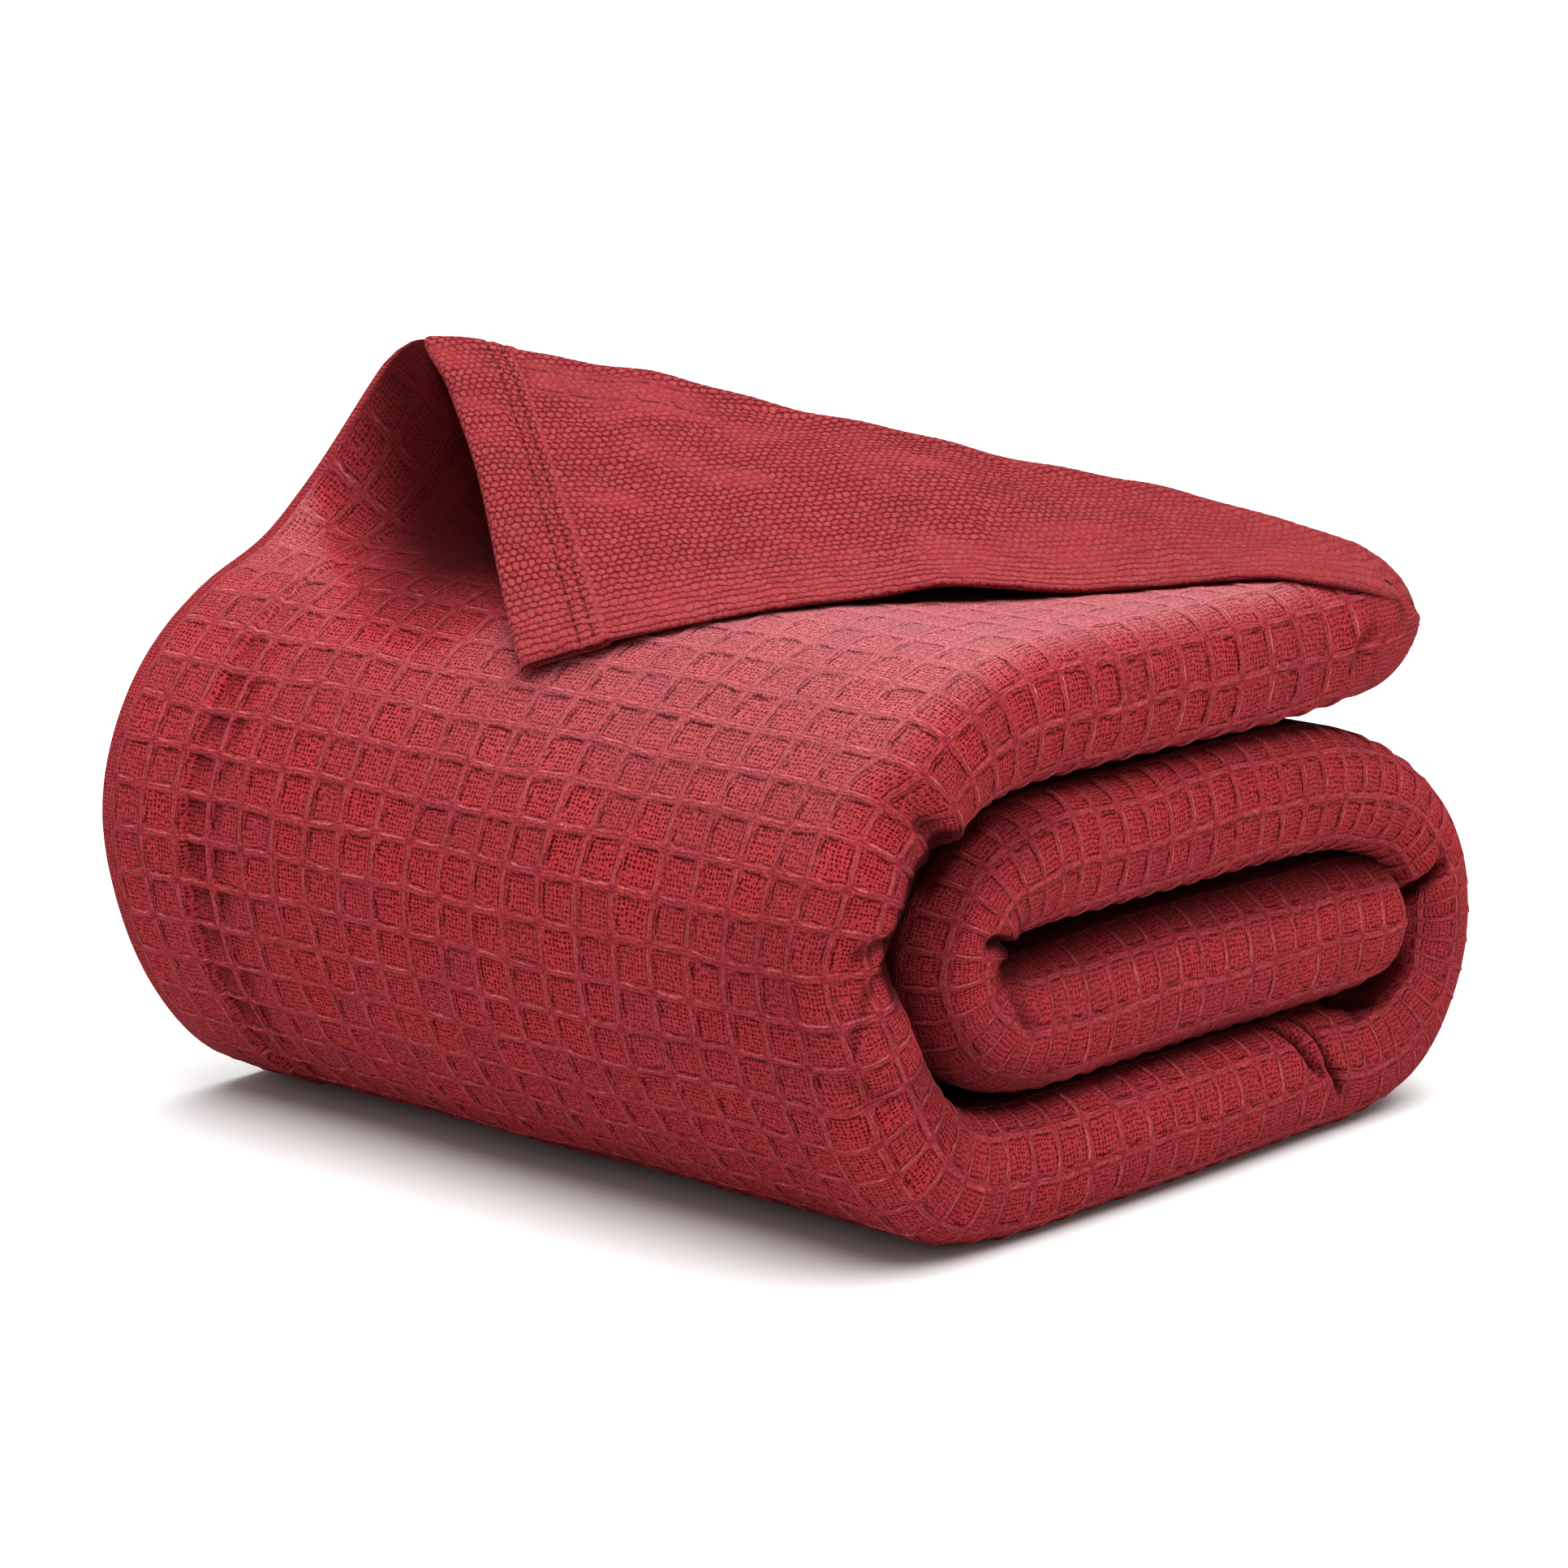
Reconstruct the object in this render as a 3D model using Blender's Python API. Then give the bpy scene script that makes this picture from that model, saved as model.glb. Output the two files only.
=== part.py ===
# Waffle weave cotton blanket, 2.29 m square: folded once in half, then three times across into a
# strip of sixteen layers, and the strip rolled into a flat spiral. The outermost layer's free
# corner is turned back over the top.
# +X runs along the roll to the end that shows the spiral, -Y is the front, +Z is up.
import bpy
import numpy as np

mm = 0.001

# strip: the folded blanket, seen across its width (all lengths in mm until the mesh is made)
rightEnd = 143.0        # single big fold, towards the shown end
leftEnd = -137.0        # hem edges and smaller folds
capReach = 17.0         # how far the big fold rounds inwards
capPower = 0.86         # below 1 the big fold is a little squarer than a half circle
edgeReach = 5.0         # how far each layer's edge rounds at the left end
slotWidth = 1.3         # gap between neighbouring folds at the left end
slotDepth = 15.0        # how far these gaps run in

# layers at the left end, from the outside of the roll inwards: hemmed pair, second hemmed pair,
# fold of four layers, fold of eight layers
layerShare = (5.0, 5.5, 10.0, 17.5)     # share of the strip's thickness
layerBack = (0.0, 2.4, 1.2, 3.0)        # how far each one is set back

# route of the strip, from the free end on top to the inner end
# y, z, half thickness outwards, half thickness inwards
route = (
    (85.0, 141.5, 16.0, 15.0),     # free end
    (62.0, 139.8, 18.5, 18.0),
    (30.0, 139.0, 19.0, 19.0),
    (-10.0, 139.0, 19.0, 19.0),
    (-50.0, 139.0, 19.0, 19.0),
    (-86.0, 138.0, 19.0, 18.5),
    (-112.0, 131.0, 18.5, 17.5),   # upper front bend
    (-133.0, 114.0, 18.0, 15.5),
    (-144.0, 90.0, 18.0, 13.0),    # front face, pinched on its inner side
    (-142.5, 66.0, 17.5, 15.0),
    (-132.0, 43.0, 18.0, 16.5),
    (-114.0, 25.0, 18.5, 17.0),    # lower front bend
    (-90.0, 18.2, 18.2, 17.5),
    (-50.0, 18.0, 18.0, 17.5),     # underside
    (-5.0, 18.0, 18.0, 17.5),
    (40.0, 18.0, 18.0, 17.5),
    (66.0, 18.4, 18.4, 16.5),
    (86.0, 24.5, 19.0, 14.5),      # back bend
    (98.5, 40.0, 17.0, 13.0),
    (100.5, 58.0, 15.5, 12.5),
    (94.5, 75.0, 16.0, 12.5),
    (79.0, 89.0, 16.5, 13.5),
    (56.0, 97.0, 17.5, 16.5),
    (28.0, 99.5, 18.5, 18.5),      # second band
    (-10.0, 99.5, 18.5, 18.5),
    (-48.0, 99.5, 18.5, 18.5),
    (-80.0, 99.0, 18.5, 17.6),
    (-98.5, 92.5, 19.0, 14.6),     # inner front turn
    (-106.0, 78.5, 19.5, 12.6),
    (-98.5, 64.5, 19.5, 14.6),
    (-80.0, 57.8, 19.5, 17.6),
    (-48.0, 57.5, 20.0, 19.0),
    (-10.0, 57.5, 20.0, 19.5),     # third band
    (30.0, 57.5, 20.0, 19.5),
    (60.0, 57.5, 19.5, 18.5),
    (81.0, 57.0, 17.0, 16.5),      # inner end
)
innerRadius = 1.6       # smallest radius on the inner side of a bend
longStep = 22.0         # station spacing on the straight runs
bendWeight = 9.0        # how much closer the stations stand in the bends
freeNose = 20.0         # rounding of the free end
innerNose = 11.0        # rounding of the inner end

# crest of the turned corner, from the left end to the right end: x, y, z
crest = (
    (-132.0, -40.0, 211.0),
    (-109.0, -29.0, 207.0),
    (-68.0, -10.0, 200.5),
    (-23.0, 10.5, 192.5),
    (20.0, 30.5, 183.0),
    (63.0, 50.0, 176.0),
    (100.0, 67.0, 168.0),
    (121.0, 76.0, 158.5),
    (132.0, 80.0, 146.0),
)
riseFront = 68.0        # run of the slope up to the crest
riseBack = 40.0         # run of the slope behind it
topFront = -104.0       # the top of the roll, between its front bend and its free end
topBack = 76.0
crestRow = 20.0         # station that carries the crest

# free edge of the turned corner, from its point to the right end: x, y, z
corner = (
    (4.0, -134.0, 144.0),
    (22.0, -122.0, 150.8),
    (45.0, -98.0, 158.2),
    (69.0, -67.0, 163.6),
    (92.0, -39.0, 163.2),
    (108.0, -6.0, 161.2),
    (123.0, 27.0, 160.6),
    (131.0, 74.0, 148.0),
)
flapThick = 2.5         # one layer
restBelow = 0.4         # cloth nearer the floor than this lies flat on it
flapEnd = 0.93          # where along the free edge the corner has merged with the roll
hemThick = 1.6          # extra thickness of the double hem

clothColour = (0.42, 0.035, 0.055, 1.0)
clothRoughness = 0.92


def clearScene():
    for old in list(bpy.data.objects):
        bpy.data.objects.remove(old, do_unlink=True)


def through(rows, spots):
    # smooth curve through the rows, read at spots given in rows
    rows = np.asarray(rows, float)
    last = len(rows) - 1
    spots = np.clip(np.asarray(spots, float), 0.0, last)
    low = np.minimum(spots.astype(int), last - 1)
    t = (spots - low)[:, None]
    before = rows[np.maximum(low - 1, 0)]
    start = rows[low]
    end = rows[low + 1]
    after = rows[np.minimum(low + 2, last)]
    lead = 0.5 * (end - before)
    trail = 0.5 * (after - start)
    return (start * (2 * t ** 3 - 3 * t ** 2 + 1) + lead * (t ** 3 - 2 * t ** 2 + t)
            + end * (3 * t ** 2 - 2 * t ** 3) + trail * (t ** 3 - t ** 2))


def walkRoute():
    # centre line, outward direction and thickness at stations that crowd together in the bends
    fine = through(route, np.linspace(0, len(route) - 1, 4001))
    steps = np.hypot(np.diff(fine[:, 0]), np.diff(fine[:, 1]))
    along = np.concatenate([[0.0], np.cumsum(steps)])
    even = np.linspace(0.0, along[-1], 2001)
    fine = np.stack([np.interp(even, along, fine[:, k]) for k in range(4)], 1)
    heading = np.unwrap(np.arctan2(np.gradient(fine[:, 1]), np.gradient(fine[:, 0])))
    window = np.hanning(31)
    padded = np.pad(heading, 15, mode="edge")
    heading = np.convolve(padded, window / window.sum(), mode="valid")
    bend = np.gradient(heading, even)
    tightest = 1.0 / np.maximum(bend, 0.001) - innerRadius
    fine[:, 3] = np.minimum(fine[:, 3], tightest)
    effort = 1.0 / longStep + bendWeight * np.abs(bend) / 4.0
    nearEnd = np.minimum(even / freeNose, (even[-1] - even) / innerNose)
    effort = effort + 0.16 * np.clip(1.2 - nearEnd, 0.0, 1.0)
    onTop = (fine[:, 1] > 125.0) * np.exp(-((fine[:, 0] - crestRow) / 22.0) ** 2)
    effort = effort + 0.14 * onTop
    total = np.concatenate([[0.0], np.cumsum(0.5 * (effort[1:] + effort[:-1]) * np.diff(even))])
    count = int(total[-1]) + 1
    spots = np.interp(np.linspace(0.0, total[-1], count), total, even)
    onCrest = np.interp(-crestRow, -fine[:700, 0], even[:700])
    spots[np.argmin(np.abs(spots - onCrest))] = onCrest
    read = [np.interp(spots, even, fine[:, k]) for k in range(4)]
    turn = np.interp(spots, even, heading)
    return spots, read, np.sin(turn), -np.cos(turn), even[-1]


def crestAt(x):
    rows = np.asarray(crest)
    return np.interp(x, rows[:, 0], rows[:, 1]), np.interp(x, rows[:, 0], rows[:, 2])


def ease(t):
    t = np.clip(t, 0.0, 1.0)
    return t * t * (3.0 - 2.0 * t)


def mound(x, y):
    # how far the top of the roll is lifted along the crest
    crestY, crestZ = crestAt(x)
    high = max(crestZ - 0.4 - 158.0, 0.0)
    front = riseFront * (0.24 + 0.76 * min(high / 46.0, 1.0))
    back = riseBack * (0.4 + 0.6 * min(high / 46.0, 1.0))
    if y < crestY:
        hollow = 1.25 + 1.0 * ease((x + 120.0) / 130.0)
        return high * ease((y - (crestY - front)) / front) ** hollow
    return high * ease((crestY + back - y) / back)


def followCrest(x, y):
    # slides the stations of the top so that one row runs along the crest
    line = min(crestAt(x)[0], topBack - 10.0)
    return y + np.interp(y, (topFront, crestRow, topBack), (0.0, line - crestRow, 0.0))


def soft(x, s):
    # slow unevenness of the cloth, about -1 to 1
    wave = np.sin(0.041 * x + 0.023 * s + 0.7) + 0.7 * np.sin(0.083 * x - 0.037 * s + 2.1)
    return 0.4 * (wave + 0.6 * np.sin(0.019 * x + 0.071 * s))


def bandLoop(station, s, nose, length, isTop):
    # one closed loop around the strip: x and distance outwards from the centre line
    y, z, outer, inner = station
    outer = outer * nose
    inner = inner * nose
    mid = 0.5 * (outer - inner)
    half = 0.5 * (outer + inner)
    inset = 7.0 * (1.0 - nose)
    sway = 1.3 * np.sin(0.021 * s + 0.5)
    right = rightEnd - inset + 0.8 * np.sin(0.034 * s) - 0.8
    left = leftEnd + inset + 1.3 + sway
    points = []

    def lift(x):
        return mound(x, followCrest(x, y)) * nose if isTop else 0.0

    topSpots = left + edgeReach + 3.0 + (right - capReach - left - edgeReach - 3.0) * np.linspace(0, 1, 13) ** 1.3
    for x in topSpots:
        points.append((x, outer + lift(x)))
    for turn in np.linspace(78.0, -78.0, 9):
        c = np.cos(np.radians(turn)) ** capPower
        d = np.sign(turn) * np.abs(np.sin(np.radians(turn))) ** capPower
        x = right - capReach + capReach * c
        points.append((x, mid + half * d + lift(x) * (0.5 + 0.5 * d)))
    bottomSpots = np.linspace(right - capReach, left + edgeReach + 3.0, 9)
    for x in bottomSpots:
        points.append((x, -inner))

    # left end, from the inside of the roll outwards
    raised = lift(left + 6.0)
    share = np.asarray(layerShare) * (outer + inner - 3 * slotWidth * nose) / sum(layerShare)
    spare = np.array([0.30, 0.20, 0.12]) * raised
    gaps = slotWidth * nose + spare
    depth = 5.0 if isTop and y > topFront else slotDepth
    deep = (depth + raised * np.array([0.5, 0.3, 0.2])) * ease((nose - 0.35) / 0.6) + 0.6
    thick = share.copy()
    thick[0] += 0.14 * raised
    thick[3] += 0.86 * raised - spare.sum()
    edge = outer + raised
    spans = []
    for k in range(4):
        spans.append((edge, edge - thick[k]))
        edge = edge - thick[k] - (gaps[k] if k < 3 else 0.0)
    for k in (3, 2, 1, 0):
        high, low = spans[k]
        middle = 0.5 * (high + low)
        tall = 0.5 * (high - low)
        reach = min(edgeReach, 1.2 * tall)
        start = left + layerBack[k] * nose
        for turn in (-66.0, -24.0, 24.0, 66.0):
            c = np.cos(np.radians(turn))
            points.append((start + reach * (1.0 - c), middle + tall * np.sin(np.radians(turn))))
        if k > 0:
            foot = start + edgeReach + deep[k - 1]
            sink = raised - lift(foot)
            above = spans[k - 1][1] - 0.15 * gaps[k - 1] - 0.9 * sink
            below = above - max(0.35 * gaps[k - 1], 0.7 * nose)
            points.append((foot, max(below, high - 0.9 * sink - 0.4)))
            points.append((foot, above))
    return points


def bandMesh():
    spots, read, outY, outZ, length = walkRoute()
    verts = []
    rings = []
    topRun = 330.0
    for i, s in enumerate(spots):
        station = [column[i] for column in read]
        fromFree = min(s / freeNose, 1.0)
        fromInner = min((length - s) / innerNose, 1.0)
        nose = np.sqrt(1.0 - (1.0 - fromFree) ** 2) * np.sqrt(1.0 - (1.0 - fromInner) ** 2)
        nose = max(0.3, nose)
        isTop = s < topRun and station[1] > 125.0
        loop = bandLoop(station, s, nose, length, isTop)
        ring = []
        onFloor = station[1] < 20.0
        isFront = station[0] < -110.0 and 25.0 < station[1] < 125.0
        for x, n in loop:
            play = 0.45
            if n > 0.0 and isFront:
                play = 1.2
            if isTop and station[0] > -90.0:
                play = 0.3
            if onFloor and n > 0.0:
                play = 0.0
            n = n + play * nose * soft(x, s) * (1.0 if n > 0 else -1.0) * min(abs(n) / 8.0, 1.0)
            z = station[1] + n * outZ[i]
            slide = 0.0
            if isTop:
                share = (n + station[3]) / (station[2] + station[3])
                slide = (followCrest(x, station[0]) - station[0]) * min(max(share, 0.0), 1.0)
            ring.append(len(verts))
            if onFloor and z < restBelow:
                z = 0.0
            verts.append((x, station[0] + n * outY[i] + slide, max(z, 0.0)))
        rings.append(ring)
    faces = []
    for a, b in zip(rings[:-1], rings[1:]):
        count = len(a)
        for k in range(count):
            faces.append((a[k], b[k], b[(k + 1) % count], a[(k + 1) % count]))
    faces.append(tuple(rings[0]))
    faces.append(tuple(reversed(rings[-1])))
    return verts, faces


def flapPoint(u, w):
    # middle of the turned corner: u along its free edge, w from that edge to the crest
    edge = through(corner, [u * (len(corner) - 1)])[0]
    x = crest[0][0] + u * (crest[-1][0] - crest[0][0])
    crestY, crestZ = crestAt(x)
    top = np.array([x, crestY, crestZ - 2.6])
    if w <= 1.0:
        bow = 4.0 * np.sin(np.pi * w) * (1.0 - u) + 1.2 * np.sin(9.0 * u + 5.0 * w) * np.sin(np.pi * w)
        drop = 3.0 * ease((w - 0.8) / 0.2) * (1.0 - u)
        point = edge + (top - edge) * w - np.array([0.0, 0.0, 5.0 * ease((u - 0.78) / 0.15)])
        return point + np.array([0.0, 0.0, bow - drop])
    sunk = 3.0 * (1.0 - u) + 5.0 * ease((u - 0.78) / 0.15)
    return top + np.array([0.0, 16.0, -15.0]) * (w - 1.0) - np.array([0.0, 0.0, sunk])


def flapMesh():
    across = np.concatenate([[0.0, 0.07], np.linspace(0.14, flapEnd, 17)])
    up = np.concatenate([np.linspace(0.0, 1.0, 13), [1.45]])
    verts = []
    grid = {}
    for i, u in enumerate(across):
        for j, w in enumerate(up):
            here = flapPoint(u, w)
            du = flapPoint(min(u + 0.01, 1.0), min(w, 1.0)) - flapPoint(max(u - 0.01, 0.0), min(w, 1.0))
            dw = flapPoint(u, min(w, 0.99) + 0.01) - flapPoint(u, min(w, 0.99) - 0.01)
            normal = np.cross(du, dw)
            normal = normal / np.linalg.norm(normal)
            thick = flapThick + (hemThick if i < 2 else 0.0)
            grid[(i, j, 1)] = len(verts)
            verts.append(tuple(here + 0.5 * thick * normal))
            grid[(i, j, 0)] = len(verts)
            verts.append(tuple(here - 0.5 * flapThick * normal))
    faces = []
    m = len(across) - 1
    n = len(up) - 1
    for i in range(m):
        for j in range(n):
            for side in (0, 1):
                face = [grid[(i, j, side)], grid[(i + 1, j, side)], grid[(i + 1, j + 1, side)], grid[(i, j + 1, side)]]
                faces.append(tuple(face if side else reversed(face)))
    for i in range(m):
        faces.append((grid[(i, 0, 0)], grid[(i + 1, 0, 0)], grid[(i + 1, 0, 1)], grid[(i, 0, 1)]))
        faces.append((grid[(i, n, 1)], grid[(i + 1, n, 1)], grid[(i + 1, n, 0)], grid[(i, n, 0)]))
    for j in range(n):
        faces.append((grid[(0, j, 1)], grid[(0, j + 1, 1)], grid[(0, j + 1, 0)], grid[(0, j, 0)]))
        faces.append((grid[(m, j, 0)], grid[(m, j + 1, 0)], grid[(m, j + 1, 1)], grid[(m, j, 1)]))
    return verts, faces


def newObject(name, verts, faces):
    mesh = bpy.data.meshes.new(name)
    mesh.from_pydata([tuple(mm * c for c in v) for v in verts], [], faces)
    mesh.update()
    obj = bpy.data.objects.new(name, mesh)
    bpy.context.scene.collection.objects.link(obj)
    return obj


def joinBodies(keep, other):
    union = keep.modifiers.new("join", "BOOLEAN")
    union.operation = "UNION"
    union.solver = "EXACT"
    union.object = other
    graph = bpy.context.evaluated_depsgraph_get()
    joined = bpy.data.meshes.new_from_object(keep.evaluated_get(graph))
    keep.modifiers.clear()
    keep.data = joined
    bpy.data.objects.remove(other, do_unlink=True)


def settle(obj):
    # centre the box over the origin and rest it on z = 0
    points = np.array([v.co[:] for v in obj.data.vertices])
    low = points.min(0)
    high = points.max(0)
    shift = np.array([-0.5 * (low[0] + high[0]), -0.5 * (low[1] + high[1]), -low[2]])
    for v in obj.data.vertices:
        v.co = tuple(np.array(v.co) + shift)
    obj.data.update()


def paint(obj):
    material = bpy.data.materials.new("cotton waffle cloth")
    material.use_nodes = True
    shader = material.node_tree.nodes["Principled BSDF"]
    shader.inputs["Base Color"].default_value = clothColour
    shader.inputs["Roughness"].default_value = clothRoughness
    shader.inputs["Metallic"].default_value = 0.0
    obj.data.materials.clear()
    obj.data.materials.append(material)


clearScene()
blanket = newObject("blanket", *bandMesh())
turned = newObject("turned corner", *flapMesh())
joinBodies(blanket, turned)
settle(blanket)
paint(blanket)
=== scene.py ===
import bpy
import numpy as np
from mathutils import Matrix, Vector


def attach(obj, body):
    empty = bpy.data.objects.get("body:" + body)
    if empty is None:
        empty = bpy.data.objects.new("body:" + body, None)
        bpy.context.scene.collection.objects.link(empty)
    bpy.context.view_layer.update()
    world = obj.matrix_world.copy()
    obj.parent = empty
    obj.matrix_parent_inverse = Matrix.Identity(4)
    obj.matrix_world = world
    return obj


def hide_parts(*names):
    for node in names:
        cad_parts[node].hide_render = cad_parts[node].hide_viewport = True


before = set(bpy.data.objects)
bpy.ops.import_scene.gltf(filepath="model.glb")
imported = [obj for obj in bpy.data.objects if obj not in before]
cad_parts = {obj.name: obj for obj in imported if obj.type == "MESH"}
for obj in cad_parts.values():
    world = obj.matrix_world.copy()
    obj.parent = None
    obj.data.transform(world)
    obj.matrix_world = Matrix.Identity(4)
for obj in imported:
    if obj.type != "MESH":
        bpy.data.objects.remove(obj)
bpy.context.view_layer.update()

# Waffle weave cotton blanket, rolled up, with one corner of the top layer turned back.
# Lengths are in mm until a mesh is made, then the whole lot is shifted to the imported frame.
metre = 0.001
frameShift = np.array([-3.0973, 23.1425, 0])  # from the roll's own zero to the frame's

roll = dict(
    rightEnd=143, leftEnd=-137,
    capReach=17, capPower=0.86,  # the big fold at the right end, its reach and roundness
    capHalf=17.5,  # a middling half thickness of the strip
    edgeReach=5,  # rounding of the layers' edges at the left end
    slotWidth=1.3, slotDepth=20,  # slots between those edges
    layerShare=(5, 5.5, 10, 17.5), layerBack=(0, 2.4, 1.2, 3),
    freeNose=20, innerNose=11,  # how far the strip's two ends are rounded
    innerRadius=1.6,
    topRun=330, topLevel=125,  # the top turn ends this far along, and lies above this height
    # where the big fold is drawn in: mm along the strip, mm in
    pinch=((213, 0), (219, 5.6), (228, 6), (238, 4.6), (247, 5.6),
           (256, 7.8), (264, 5.4), (274, 1.6), (286, 0)),
)

# middle of the strip from its free end on top to its inner end: y, z, half thickness out, half in
route = (
    (85, 141.5, 16, 15), (62, 139.8, 18.5, 18), (30, 139, 19, 19),
    (-10, 139, 19, 19), (-50, 139, 19, 19), (-86, 138, 19, 18.5),
    (-112, 131, 18.5, 17.5), (-133, 114, 18, 15.5), (-144, 90, 18, 13),
    (-142.5, 66, 17.5, 15), (-132, 43, 18, 16.5), (-114, 25, 18.5, 17),
    (-90, 18.2, 18.2, 17.5), (-50, 18, 18, 17.5), (-5, 18, 18, 17.5),
    (40, 18, 18, 17.5), (64, 18.4, 18.4, 16.5), (83, 24.5, 19, 14.5),
    (96, 39.5, 17, 13), (98.8, 57.5, 15.5, 12.5), (91.5, 74, 16, 12.5),
    (76, 87.5, 16.5, 13.5), (54, 96.3, 17.5, 16.5), (28, 99.5, 18.5, 18.5),
    (-10, 99.5, 18.5, 18.5), (-48, 99.5, 18.5, 18.5), (-80, 99, 18.5, 17.6),
    (-98.5, 92.5, 19, 14.6), (-106, 78.5, 19.5, 12.6), (-98.5, 64.5, 19.5, 14.6),
    (-80, 57.8, 19.5, 17.6), (-48, 57.5, 20, 19), (-10, 57.5, 20, 19.5),
    (30, 57.5, 20, 19.5), (60, 57.5, 19.5, 18.5), (81, 57, 17, 16.5),
)

# crest of the turned corner, left to right, and its free edge, from its point to the right
crest = np.array((
    (-132, -40, 211), (-109, -29, 207), (-68, -10, 200.5), (-23, 10.5, 192.5),
    (20, 30.5, 183), (63, 50, 176), (100, 67, 168), (112, 72, 165.5),
    (121, 76, 163), (128, 78, 159.5), (132, 79, 156), (135.5, 79, 152.5),
    (138.5, 77, 149.5),
))
cornerEdge = np.array((
    (4, -134, 144), (22, -122, 150.8), (45, -98, 157.2), (58, -82, 159.8),
    (69, -67, 161.2), (80, -53, 163.6), (92, -39, 162.4), (100, -23, 160.2),
    (108, -6, 159.8), (123, 27, 159.8), (133, 38, 158.6), (138, 50, 155.8),
    (140, 61, 152.6), (140.2, 70, 149),
))
# how far along the crest each point of the free edge belongs, as a share
edgeShare = (0, 0.143, 0.286, 0.357, 0.429, 0.5, 0.571, 0.643, 0.714, 0.83, 0.89, 0.93, 0.965, 1)

# the waffle: square pockets between soft raised ribs, shares count one pocket with its rib
waffle = dict(
    columns=22,  # pockets between the middle of the big fold and the hem edge
    pocketWide=13.2,  # one pocket across, for creases and edges
    rowPitch=12.4,  # one pocket along the strip
    slack=0.26,  # how much closer the rows lie on the inner turns
    slackFrom=385, slackOver=40,
    across=(0.05, 0.19, 0.85, 0.97),  # left wall's top and foot, right wall's foot and top
    down=(0.04, 0.16, 0.87, 0.97),  # the same for the upper and the lower wall
    pocketDepth=0.62,
    floatLift=0.38,  # the yarn float along each pocket's lower edge
    floatAt=0.93, floatBow=0.03,
    wander=1 / 13,  # how far a rib strays from its line, in pockets
)
capSide, hemSide = 2, waffle["columns"]  # where the pieces end, in pockets from the big fold


def ease(t):
    t = np.clip(t, 0, 1)
    return t * t * (3 - 2 * t)


def grow(value, start, over):
    # from 0 at the start to 1 a stretch further on, or further back where the stretch is below 0
    return ease((value - start) / over)


def summed(parts):
    return np.concatenate([[0], np.cumsum(parts)])


def runAlong(points):
    # length walked from the first point to each point
    return summed(np.linalg.norm(np.diff(points, axis=0), axis=1))


def through(stops, spots):
    # smooth curve through the stops, read at spots counted in stops
    stops = np.asarray(stops, float)
    last = len(stops) - 1
    spots = np.clip(np.asarray(spots, float), 0, last)
    low = np.minimum(spots.astype(int), last - 1)
    t = (spots - low)[:, None]
    before, start = stops[np.maximum(low - 1, 0)], stops[low]
    end, after = stops[low + 1], stops[np.minimum(low + 2, last)]
    lead, trail = 0.5 * (end - before), 0.5 * (after - start)
    return (start * (2 * t ** 3 - 3 * t ** 2 + 1) + lead * (t ** 3 - 2 * t ** 2 + t)
            + end * (3 * t ** 2 - 2 * t ** 3) + trail * (t ** 3 - t ** 2))


def patches(a, b, seed):
    # smooth unevenness from -1 to 1 that changes over one unit of a and b
    table = np.random.RandomState(seed).uniform(-1, 1, (64, 64))
    a, b = np.broadcast_arrays(np.asarray(a, float), np.asarray(b, float))
    i, j = np.floor(a).astype(int), np.floor(b).astype(int)
    u, w = ease(a - i), ease(b - j)
    low = table[i % 64, j % 64] * (1 - u) + table[(i + 1) % 64, j % 64] * u
    high = table[i % 64, (j + 1) % 64] * (1 - u) + table[(i + 1) % 64, (j + 1) % 64] * u
    return low * (1 - w) + high * w


def walkRoute():
    fine = through(route, np.linspace(0, len(route) - 1, 4001))
    along = runAlong(fine[:, :2])
    even = np.linspace(0, along[-1], 2001)
    y, z, outer, inner = [np.interp(even, along, part) for part in fine.T]
    heading = np.unwrap(np.arctan2(np.gradient(z), np.gradient(y)))
    window = np.hanning(31)
    around = np.pad(heading, len(window) // 2, mode="edge")
    heading = np.convolve(around, window / window.sum(), mode="valid")
    bend = np.gradient(heading, even)
    inner = np.minimum(inner, 1 / np.maximum(bend, 0.001) - roll["innerRadius"])
    # the rows lie evenly along the outer face, which is longer round the bends, and closer further in
    skinY, skinZ = y + outer * np.sin(heading), z - outer * np.cos(heading)
    closer = 1 + waffle["slack"] * ease((even[1:] - waffle["slackFrom"]) / waffle["slackOver"])
    run = summed(np.hypot(np.diff(skinY), np.diff(skinZ)) * closer)
    return dict(s=even, y=y, z=z, outer=outer, inner=inner, turn=heading, run=run)


line = walkRoute()
length = line["s"][-1]
rows = line["run"][-1] / waffle["rowPitch"]
print("route walked:", round(float(length)), "mm,", round(float(rows)), "rows of pockets")


def alongAt(b):
    return np.interp(b * waffle["rowPitch"], line["run"], line["s"])


def rowAt(s):
    return float(np.round(np.interp(s, line["s"], line["run"]) / waffle["rowPitch"]))


def at(name, s):
    return np.interp(s, line["s"], line[name])


def isOnTop(s, z):
    return (s < roll["topRun"]) & (z > roll["topLevel"])


def noseAt(s):
    free = np.clip(s / roll["freeNose"], 0, 1)
    far = np.clip((length - s) / roll["innerNose"], 0, 1)
    return np.maximum(0.3, np.sqrt(1 - (1 - free) ** 2) * np.sqrt(1 - (1 - far) ** 2))


def crestAt(x):
    # the crest's y and z
    return [np.interp(x, crest[:, 0], crest[:, k]) for k in (1, 2)]


def edgeAt(u):
    return through(cornerEdge, [np.interp(u, edgeShare, np.arange(len(cornerEdge)))])[0]


# the top turn is lifted under the crest, and slopes down in front of it and behind it
lifted = dict(
    start=158.4, full=46, below=2.2, end=140, fade=16,
    front=68, frontLeast=0.24, back=40, backLeast=0.4,
)


def slopeReach(side, high):
    least = lifted[side + "Least"]
    return lifted[side] * (least + (1 - least) * np.minimum(high / lifted["full"], 1))


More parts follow.
